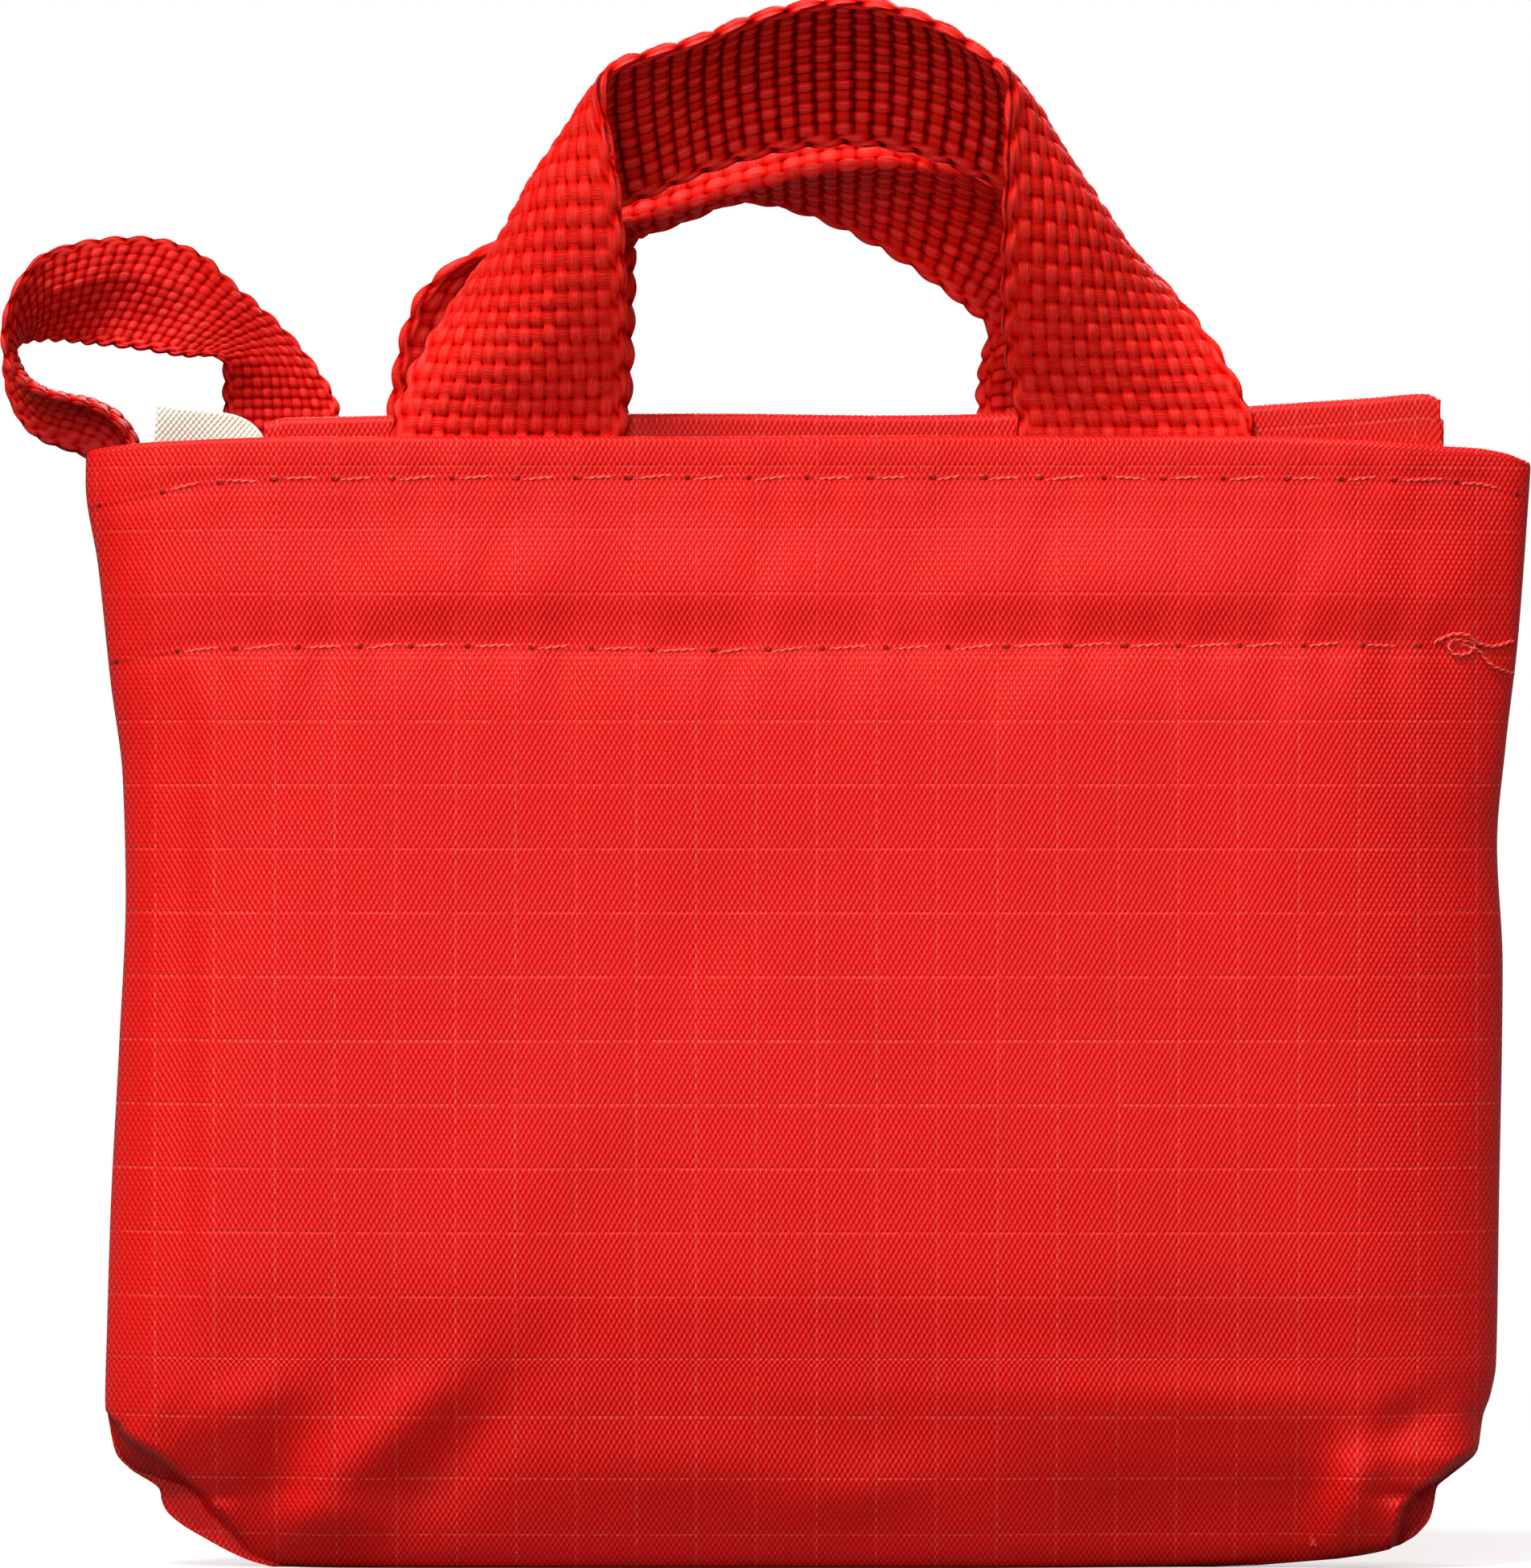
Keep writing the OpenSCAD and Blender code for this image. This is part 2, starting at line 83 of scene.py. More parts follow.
def build(name, co, faces, uv=None, attrs=None):
    """A mesh object from millimetre vertices and equal-sized faces."""
    me = bpy.data.meshes.new(name)
    co = np.asarray(co, np.float32) * MM
    q = np.asarray(faces, np.int32)
    me.vertices.add(len(co))
    me.vertices.foreach_set("co", co.ravel())
    me.loops.add(q.size)
    me.loops.foreach_set("vertex_index", q.ravel())
    me.polygons.add(len(q))
    me.polygons.foreach_set("loop_start", np.arange(0, q.size, q.shape[1], dtype=np.int32))
    me.update(calc_edges=True)
    if uv is not None:
        layer = me.uv_layers.new(name="UVMap")
        layer.data.foreach_set("uv", np.asarray(uv, np.float32)[q.ravel()].ravel())
    for k, v in (attrs or {}).items():
        a = me.attributes.new(k, "FLOAT", "POINT")
        a.data.foreach_set("value", np.asarray(v, np.float32).ravel())
    me.polygons.foreach_set("use_smooth", np.ones(len(q), bool))
    me.validate()
    ob = bpy.data.objects.new(name, me)
    bpy.context.scene.collection.objects.link(ob)
    return ob


def grid_quads(n, m, offset=0, flip=False):
    i, j = np.meshgrid(np.arange(n - 1), np.arange(m - 1), indexing="ij")
    a = (i * m + j).ravel()
    q = np.stack([a, a + 1, a + m + 1, a + m], 1) + offset
    return q[:, ::-1] if flip else q


def normals(S):
    du = np.gradient(S, axis=0)
    dv = np.gradient(S, axis=1)
    n = np.cross(dv, du)
    return n / np.maximum(np.linalg.norm(n, axis=2, keepdims=True), 1e-9)


def closed_sheet(name, A, B, uv=None, attrs=None):
    """Two grids of points joined along all four edges."""
    n, m = A.shape[:2]
    o = n * m
    rim = []
    i, j = np.arange(n - 1), np.arange(m - 1)
    rim.append(np.stack([o + j, o + j + 1, j + 1, j], 1))
    e = (n - 1) * m
    rim.append(np.stack([e + j, e + j + 1, o + e + j + 1, o + e + j], 1))
    rim.append(np.stack([i * m, (i + 1) * m, o + (i + 1) * m, o + i * m], 1))
    k = m - 1
    rim.append(np.stack([o + i * m + k, o + (i + 1) * m + k, (i + 1) * m + k, i * m + k], 1))
    faces = np.concatenate([grid_quads(n, m), grid_quads(n, m, o, True)] + rim)
    co = np.concatenate([A.reshape(-1, 3), B.reshape(-1, 3)])
    if uv is not None:
        uv = np.concatenate([uv.reshape(-1, 2), uv.reshape(-1, 2)])
    both = {}
    for key, v in (attrs or {}).items():
        a, b = v if isinstance(v, tuple) else (v, v)
        both[key] = np.concatenate([a.ravel(), b.ravel()])
    return build(name, co, faces, uv, both)


def tube(name, paths, radius, sides=8, uvscale=1.0, bulge=None):
    """Closed round tubes along paths (each (n,3) in mm)."""
    V, F, UV = [], [], []
    o = 0
    for p in paths:
        p = np.asarray(p, float)
        n = len(p)
        t = np.gradient(p, axis=0)
        t /= np.maximum(np.linalg.norm(t, axis=1, keepdims=True), 1e-9)
        ref = np.array([0.0, 1.0, 0.0])
        a = np.cross(t, ref)
        bad = np.linalg.norm(a, axis=1) < 1e-3
        a[bad] = np.cross(t[bad], [1.0, 0, 0])
        a /= np.linalg.norm(a, axis=1, keepdims=True)
        b = np.cross(t, a)
        s = np.concatenate([[0], np.cumsum(np.linalg.norm(np.diff(p, axis=0), axis=1))])
        r = radius * (np.ones(n) if bulge is None else bulge(s / max(s[-1], 1e-9)))
        ang = np.arange(sides) / sides * TAU
        ring = p[:, None] + r[:, None, None] * (
            a[:, None] * np.cos(ang)[None, :, None] + b[:, None] * np.sin(ang)[None, :, None]
        )
        V.append(ring.reshape(-1, 3))
        UV.append(np.stack([np.repeat(s, sides), np.tile(ang / TAU, n)], 1) * uvscale)
        i, k = np.meshgrid(np.arange(n - 1), np.arange(sides), indexing="ij")
        i, k = i.ravel(), k.ravel()
        k2 = (k + 1) % sides
        F.append(np.stack([i * sides + k, i * sides + k2, (i + 1) * sides + k2, (i + 1) * sides + k], 1) + o)
        c0, c1 = p[0], p[-1]
        V.append(np.array([c0, c1]))
        UV.append(np.zeros((2, 2)))
        h = n * sides
        kk = np.arange(0, sides, 2)
        F.append(np.stack([np.full(len(kk), h), (kk + 2) % sides, kk + 1, kk], 1) + o)
        e = (n - 1) * sides
        F.append(np.stack([np.full(len(kk), h + 1), e + kk, e + kk + 1, e + (kk + 2) % sides], 1) + o)
        o += h + 2
    return build(name, np.concatenate(V), np.concatenate(F), np.concatenate(UV))


# ---------------------------------------------------------------- materials


def srgb(h):
    c = [int(h[i : i + 2], 16) / 255 for i in (1, 3, 5)]
    return [x / 12.92 if x <= 0.04045 else ((x + 0.055) / 1.055) ** 2.4 for x in c] + [1.0]


class Nodes:
    def __init__(self, name):
        self.mat = bpy.data.materials.new(name)
        self.mat.use_nodes = True
        self.t = self.mat.node_tree
        self.t.nodes.clear()
        self.out = self.t.nodes.new("ShaderNodeOutputMaterial")
        self.bsdf = self.t.nodes.new("ShaderNodeBsdfPrincipled")
        self.t.links.new(self.bsdf.outputs[0], self.out.inputs[0])

    def put(self, sock, v):
        if isinstance(v, bpy.types.NodeSocket):
            self.t.links.new(v, sock)
        elif v is not None:
            sock.default_value = v

    def m(self, op, a, b=None, c=None):
        n = self.t.nodes.new("ShaderNodeMath")
        n.operation = op
        for i, v in enumerate((a, b, c)):
            if v is not None:
                self.put(n.inputs[i], v)
        return n.outputs[0]

    def mix(self, f, a, b):
        n = self.t.nodes.new("ShaderNodeMix")
        n.data_type = "RGBA"
        self.put(n.inputs[0], f)
        self.put(n.inputs[6], a)
        self.put(n.inputs[7], b)
        return n.outputs[2]

    def mul(self, f, a, b):
        n = self.t.nodes.new("ShaderNodeMix")
        n.data_type = "RGBA"
        n.blend_type = "MULTIPLY"
        self.put(n.inputs[0], f)
        self.put(n.inputs[6], a)
        self.put(n.inputs[7], b)
        return n.outputs[2]

    def attr(self, name):
        n = self.t.nodes.new("ShaderNodeAttribute")
        n.attribute_name = name
        return n.outputs["Fac"]

    def uv(self):
        n = self.t.nodes.new("ShaderNodeUVMap")
        n.uv_map = "UVMap"
        s = self.t.nodes.new("ShaderNodeSeparateXYZ")
        self.t.links.new(n.outputs[0], s.inputs[0])
        return s.outputs[0], s.outputs[1], n.outputs[0]

    def obj(self):
        return self.t.nodes.new("ShaderNodeTexCoord").outputs["Object"]

    def vec(self, x, y, z=0.0):
        n = self.t.nodes.new("ShaderNodeCombineXYZ")
        for i, v in enumerate((x, y, z)):
            self.put(n.inputs[i], v)
        return n.outputs[0]

    def noise(self, vec, scale, detail=2.0, rough=0.5):
        n = self.t.nodes.new("ShaderNodeTexNoise")
        self.t.links.new(vec, n.inputs["Vector"])
        n.inputs["Scale"].default_value = scale
        n.inputs["Detail"].default_value = detail
        n.inputs["Roughness"].default_value = rough
        return n.outputs["Fac"]

    def ramp(self, f, lo, hi):
        n = self.t.nodes.new("ShaderNodeMapRange")
        n.interpolation_type = "SMOOTHSTEP"
        self.put(n.inputs[0], f)
        n.inputs[1].default_value, n.inputs[2].default_value = lo, hi
        return n.outputs[0]

    def bump(self, h, dist, strength=1.0):
        n = self.t.nodes.new("ShaderNodeBump")
        n.inputs["Strength"].default_value = strength
        n.inputs["Distance"].default_value = dist
        self.put(n.inputs["Height"], h)
        self.t.links.new(n.outputs[0], self.bsdf.inputs["Normal"])

    def surface(self, color, rough, spec=0.35, sheen=0.0):
        self.put(self.bsdf.inputs["Base Color"], color)
        self.put(self.bsdf.inputs["Roughness"], rough)
        self.put(self.bsdf.inputs["Specular IOR Level"], spec)
        if sheen:
            self.bsdf.inputs["Sheen Weight"].default_value = sheen
            self.bsdf.inputs["Sheen Roughness"].default_value = 0.4
        return self.mat


def uneven(u):
    return u + 0.35 * np.sin(u * 0.83) + 0.25 * np.sin(u * 0.31 + 1.0)


def even(w):
    u = np.array(w, float)
    for _ in range(12):
        u = u - (uneven(u) - w) * 0.8
    return u


def ripstop(name, mid, dark, light, grid=True, stitched=False, gain=1.0, thread=0.6, row=0.53):
    """Plain-woven cloth with heavier threads in a grid. The yarn crowns are painted lighter as highlight, and the gaps
    between yarns and between rows darker as shade. UV in millimetres.
    """
    k = Nodes(name)
    u, v, uvw = k.uv()
    wob = k.m("MULTIPLY", k.m("SUBTRACT", k.noise(uvw, 0.55, 1.0), 0.5), 0.10)
    uu = k.m("ADD", u, wob)
    cu = k.m("COSINE", k.m("MULTIPLY", uu, TAU / thread))
    cv = k.m("COSINE", k.m("MULTIPLY", v, math.pi / row))
    w = k.m("MULTIPLY", cu, cv)
    # painted highlight on the yarn crowns, painted shade in the gaps between yarns and between rows
    crown = k.ramp(w, 0.0, 0.9)
    gap = k.ramp(w, -0.05, -0.9)
    fibre = k.noise(k.vec(k.m("MULTIPLY", u, 5.0), k.m("MULTIPLY", v, 1.2)), 1.0, 2.0)
    blot = k.noise(uvw, 0.05, 3.0, 0.6)
    col = k.mix(k.ramp(blot, 0.3, 0.7), mid, [c * 0.93 for c in mid[:3]] + [1.0])
    col = k.mix(k.m("MULTIPLY", crown, k.m("ADD", 0.34 * gain, k.m("MULTIPLY", fibre, 0.5))), col, light)
    col = k.mix(k.m("MULTIPLY", gap, 0.52 * gain), col, dark)
    rib = k.ramp(k.m("ABSOLUTE", cv), 0.5, 0.05)
    col = k.mix(k.m("MULTIPLY", rib, 0.52 * gain), col, dark)
    h = k.m("ADD", k.m("MULTIPLY", w, 0.5), k.m("MULTIPLY", fibre, 0.25))
    if grid:
        gu = k.m("ABSOLUTE", k.m("SUBTRACT", k.m("FRACT", k.m("ADD", k.m("DIVIDE", k.m("ADD", u, 43.97), 6.4), 20.5)), 0.5))
        gv = k.m("ABSOLUTE", k.m("SUBTRACT", k.m("FRACT", k.m("ADD", k.m("DIVIDE", k.m("SUBTRACT", v, 111.03), 6.8), 40.5)), 0.5))
        lu = k.m("MULTIPLY", k.ramp(gu, 0.034, 0.010), k.ramp(k.noise(k.vec(k.m("MULTIPLY", u, 0.15), k.m("MULTIPLY", v, 1.3)), 1.0, 2.0), 0.28, 0.6))
        lv = k.m("MULTIPLY", k.ramp(gv, 0.034, 0.010), k.ramp(k.noise(k.vec(k.m("MULTIPLY", u, 1.1), k.m("MULTIPLY", v, 0.15)), 1.0, 2.0), 0.28, 0.6))
        line = k.m("MAXIMUM", k.m("MULTIPLY", lu, k.m("ADD", 0.18, k.m("MULTIPLY", crown, 0.85))), k.m("MULTIPLY", lv, k.m("ADD", 0.18, k.m("MULTIPLY", crown, 0.85))))
        low = k.m("ADD", 0.30, k.m("MULTIPLY", k.ramp(v, 102.0, 78.0), 0.30))
        col = k.mix(k.m("MULTIPLY", line, low), col, srgb("#ff6254"))
        h = k.m("ADD", h, k.m("MULTIPLY", k.m("MAXIMUM", lu, lv), 0.35))
    if stitched:
        hole = None
        for nm in ("row_a", "row_b"):
            d = k.attr(nm)
            jog = k.m("ADD", k.m("MULTIPLY", k.m("SINE", k.m("MULTIPLY", u, 0.83)), 0.35), k.m("MULTIPLY", k.m("SINE", k.m("ADD", k.m("MULTIPLY", u, 0.31), 1.0)), 0.25))
            al = k.m("MULTIPLY", k.m("SUBTRACT", k.m("FRACT", k.m("ADD", k.m("DIVIDE", k.m("ADD", u, jog), 6.3), 100.5 if nm == "row_a" else 100.18)), 0.5), 6.3)
            dist = k.m("SQRT", k.m("ADD", k.m("MULTIPLY", k.m("MULTIPLY", al, 0.8), k.m("MULTIPLY", al, 0.8)), k.m("MULTIPLY", d, d)))
            spot = k.ramp(dist, 0.40, 0.12)
            seam = k.m("MULTIPLY", k.ramp(k.m("ABSOLUTE", d), 0.4, 0.05), 0.22)
            both = k.m("MAXIMUM", spot, seam)
            hole = both if hole is None else k.m("MAXIMUM", hole, both)
        # painted shade: the needle holes and a thin groove along each stitch row are darkened in the colour
        col = k.mix(k.m("MULTIPLY", hole, 0.75), col, [c * 0.38 for c in dark[:3]] + [1.0])
        h = k.m("SUBTRACT", h, k.m("MULTIPLY", hole, 1.2))
        # painted shade on the cloth tucked under the squared-off corners
        col = k.mul(k.m("MULTIPLY", k.attr("tuck"), 0.62), col, (0.25, 0.1, 0.1, 1.0))
    k.bump(h, 0.00015, 0.9)
    rough = k.m("ADD", 0.5, k.m("MULTIPLY", blot, 0.12))
    return k.surface(col, k.m("SUBTRACT", rough, 0.08), 0.27)


def webbing_mat(name, mid, dark, light, yarn):
    """Woven strap. The weave-height attribute is the height of the weave, pushed lower on the strap's downward face as
    painted shade; its low parts are painted darker as shade, its high crowns lighter as a painted highlight, and the
    crosswise yarns a little darker as shade. warp is 1 on lengthwise yarns and 0 on crosswise ones.
    """
    k = Nodes(name)
    u, v, uvw = k.uv()
    c, w = k.attr("weave_height_shade"), k.attr("warp")
    along = k.noise(k.vec(k.m("MULTIPLY", u, 0.9 / yarn), k.m("MULTIPLY", v, 11.0 / yarn)), 1.0, 2.0, 0.6)
    across = k.noise(k.vec(k.m("MULTIPLY", u, 11.0 / yarn), k.m("MULTIPLY", v, 0.9 / yarn)), 1.0, 2.0, 0.6)
    strands = k.m("ADD", k.m("MULTIPLY", along, w), k.m("MULTIPLY", across, k.m("SUBTRACT", 1.0, w)))
    blot = k.noise(uvw, 0.12, 2.0)
    # painted shade: crosswise yarns and low parts of the weave darker; painted highlight on the high crowns along the
    # strands
    face = k.mix(k.m("MULTIPLY", w, 0.75), [x * 0.86 for x in mid[:3]] + [1.0], mid)
    col = k.mix(k.ramp(c, 0.0, 0.6), dark, face)
    hi = k.m("MULTIPLY", k.ramp(c, 0.55, 1.0), k.m("MULTIPLY", k.ramp(strands, 0.35, 0.7), k.m("ADD", 0.25, k.m("MULTIPLY", w, 0.45))))
    col = k.mix(hi, col, light)
    col = k.mix(k.m("MULTIPLY", k.ramp(strands, 0.5, 0.2), 0.3), col, dark)
    col = k.mix(k.m("MULTIPLY", k.ramp(blot, 0.35, 0.7), 0.12), col, dark)
    k.bump(strands, 0.00010 * yarn, 0.9)
    return k.surface(col, k.m("ADD", 0.40, k.m("MULTIPLY", strands, 0.25)), k.m("MULTIPLY", k.ramp(c, 0.4, 1.0), 0.24))


def thread_mat(name, mid, light):
    k = Nodes(name)
    u, v, uvw = k.uv()
    ply = k.m("SINE", k.m("ADD", k.m("MULTIPLY", u, TAU / 0.9), k.m("MULTIPLY", v, TAU * 2)))
    n = k.noise(k.obj(), 900.0, 2.0)
    # painted highlight along the twisted plies of the thread
    col = k.mix(k.ramp(ply, -0.6, 0.9), mid, light)
    col = k.mix(k.m("MULTIPLY", n, 0.3), col, mid)
    k.bump(k.m("ADD", ply, n), 0.00008, 0.8)
    return k.surface(col, 0.5, 0.4)


def label_mat(name):
    k = Nodes(name)
    u, v, uvw = k.uv()
    w = k.m("MULTIPLY", k.m("COSINE", k.m("MULTIPLY", u, TAU / 0.62)), k.m("COSINE", k.m("MULTIPLY", v, math.pi / 0.36)))
    n = k.noise(uvw, 0.5, 3.0)
    # painted highlight on the label's yarn crowns, painted shade in the gaps
    col = k.mix(k.ramp(w, -0.9, 0.5), srgb("#d0d2ba"), srgb("#fafceb"))
    col = k.mix(k.m("MULTIPLY", k.ramp(n, 0.3, 0.8), 0.3), col, srgb("#e6e8d0"))
    k.bump(k.m("ADD", w, k.m("MULTIPLY", n, 0.5)), 0.0001, 0.7)
    return k.surface(col, 0.75, 0.2)


# the dark and light reds of each set are the painted shade and painted highlight colours of the weave; the webbing's
# dark red also tints its fibres and blotches
R_MID, R_SHADE, R_HIGHLIGHT = srgb("#ee0a04"), srgb("#940000"), srgb("#ff2a1e")
W_MID, W_SHADE_AND_FIBRE_TONE, W_HIGHLIGHT = srgb("#f0170d"), srgb("#560000"), srgb("#ff4436")
M_POUCH = ripstop("pouch ripstop", R_MID, R_SHADE, R_HIGHLIGHT, stitched=True)
M_TOTE = ripstop("tote ripstop", srgb("#e2140c"), R_SHADE, R_HIGHLIGHT)
M_LINING = ripstop("plain cloth", srgb("#c81810"), R_SHADE, R_HIGHLIGHT, grid=False)
M_WEB = webbing_mat("handle webbing", W_MID, W_SHADE_AND_FIBRE_TONE, W_HIGHLIGHT, 1.7)
M_LOOP = webbing_mat("loop webbing", srgb("#d0110a"), srgb("#600000"), srgb("#f4352a"), 1.05)
M_THREAD = thread_mat("sewing thread", srgb("#e4281e"), srgb("#ff6455"))
M_LABEL = label_mat("label cloth")

# carried-over CAD pieces: inner tapes, seams and tacks
for nm, ob in frame["nodes"].items():
    ob.data.materials.clear()
    slot = next(s["material_slot"] for s in frame["record"]["subparts"] if s["node"] == nm)
    ob.data.materials.append(
        {"pouch_cloth": M_LINING, "tote_cloth": M_LINING, "handle_webbing": M_LINING, "loop_webbing": M_LINING,
         "binding_tape": M_LINING, "thread": M_THREAD, "label_cloth": M_LABEL}[slot]
    )
    if "UVMap" not in ob.data.uv_layers:
        layer = ob.data.uv_layers.new(name="UVMap")
        co = np.array([ob.data.vertices[l.vertex_index].co for l in ob.data.loops], np.float32) * 1000
        layer.data.foreach_set("uv", np.stack([co[:, 0], co[:, 2] + co[:, 1]], 1).ravel())

# ---------------------------------------------------------------- pouch shell
LEFT = [(0, 57.4), (0.5, 59.4), (1.4, 61.6), (3, 64.6), (4.7, 67.4), (6.0, 68.8), (7.1, 69.3), (8.2, 69.5), (10.5, 72.7), (12.2, 74.2), (14.7, 74.8), (17.8, 75.2), (25.7, 75.0), (38.6, 74.6), (55.9, 73.7), (72.2, 73.0), (84.3, 73.3), (94.7, 74.6), (107.6, 76.0), (116.2, 77.3), (121, 77.2)]
RIGHT = [(0, 44.0), (0.6, 51.6), (1.1, 57.3), (1.8, 61.1), (2.7, 64.1), (3.8, 65.6), (5.3, 66.7), (6.8, 67.1), (8.5, 67.4), (9.6, 68.6), (11.1, 70.5), (12.1, 71.5), (14.3, 71.9), (16.2, 72.2), (18.5, 73.0), (21.9, 73.6), (38.6, 73.9), (64.5, 74.3), (77.4, 73.7), (87.8, 74.6), (99, 75.9), (114.8, 77.1), (121, 77.5)]
DEPTH = [(0, 3.0), (0.4, 3.8), (1.6, 4.8), (4, 6.0), (7, 7.3), (11, 8.8), (15.5, 10.1), (20, 11.2), (25, 11.9), (31, 12.3), (45, 12.5), (60, 12.2), (80, 11.4), (98, 10.3), (110, 9.4), (121, 8.8)]
TOP = [(-78, 119.3), (-76.5, 119.6), (-69.4, 120.3), (-52, 120.8), (-20, 120.8), (20, 120.9), (47.8, 120.8), (60, 120.4), (67.7, 119.9), (71.7, 119.7), (74.8, 119.2), (76.6, 118.6), (78, 118.3)]
ROW_A = [(-78, 113.4), (-74.9, 113.9), (-69.4, 115.0), (-64.5, 115.9), (-58.3, 116.4), (-40, 116.5), (0, 116.6), (60, 116.4), (70.9, 116.1), (74.6, 115.2), (77.5, 114.6)]
ROW_B = [(-78, 96.6), (-73.7, 97.1), (-65, 98.3), (-40, 98.6), (-13.4, 98.2), (25, 98.6), (68.5, 98.7), (78, 98.6)]


def gauss(x, z, cx, cz, sx, sz, ang=0.0):
    c, s = math.cos(math.radians(ang)), math.sin(math.radians(ang))
    a, b = (x - cx) * c + (z - cz) * s, -(x - cx) * s + (z - cz) * c
    return np.exp(-((a / sx) ** 2) - (b / sz) ** 2)


def waves(x, z, seed, n, lo, hi):
    r = np.random.default_rng(seed)
    out = np.zeros_like(x)
    for _ in range(n):
        wl = r.uniform(lo, hi)
        a = r.uniform(0, TAU)
        out += np.cos(TAU / wl * (x * math.cos(a) + z * math.sin(a)) + r.uniform(0, TAU)) * wl / hi
    return out / n


def poly_dist(x, z, line):
    """Signed distance to a polyline: positive above and inward of it."""
    best = np.full(x.shape, 1e9)
    sign = np.ones(x.shape)
    par = np.zeros(x.shape)
    tot = 0.0
    seg = np.array(line, float)
    lens = np.linalg.norm(np.diff(seg, axis=0), axis=1)
    for i in range(len(seg) - 1):
        a, b = seg[i], seg[i + 1]
        d = b - a
        t = np.clip(((x - a[0]) * d[0] + (z - a[1]) * d[1]) / (d @ d), 0, 1)
        px, pz = x - a[0] - t * d[0], z - a[1] - t * d[1]
        r = np.hypot(px, pz)
        s = np.sign(d[0] * (z - a[1]) - d[1] * (x - a[0]))
        hit = r < best
        best = np.where(hit, r, best)
        sign = np.where(hit, s, sign)
        par = np.where(hit, (tot + t * lens[i]) / lens.sum(), par)
        tot += lens[i]
    return best * sign, par


FOLD_L = [(-73.2, 15.0), (-72.0, 13.9), (-69.4, 12.4), (-67.4, 10.6), (-65.2, 8.4), (-62.8, 5.8), (-61.0, 3.4), (-60.0, 1.6), (-59.2, -1.0)]
FOLD_R = [(62.0, -0.5), (62.6, 3.2), (63.5, 6.6), (64.9, 8.1), (67.0, 9.8), (68.9, 11.3), (71.4, 12.7), (72.6, 13.4)]


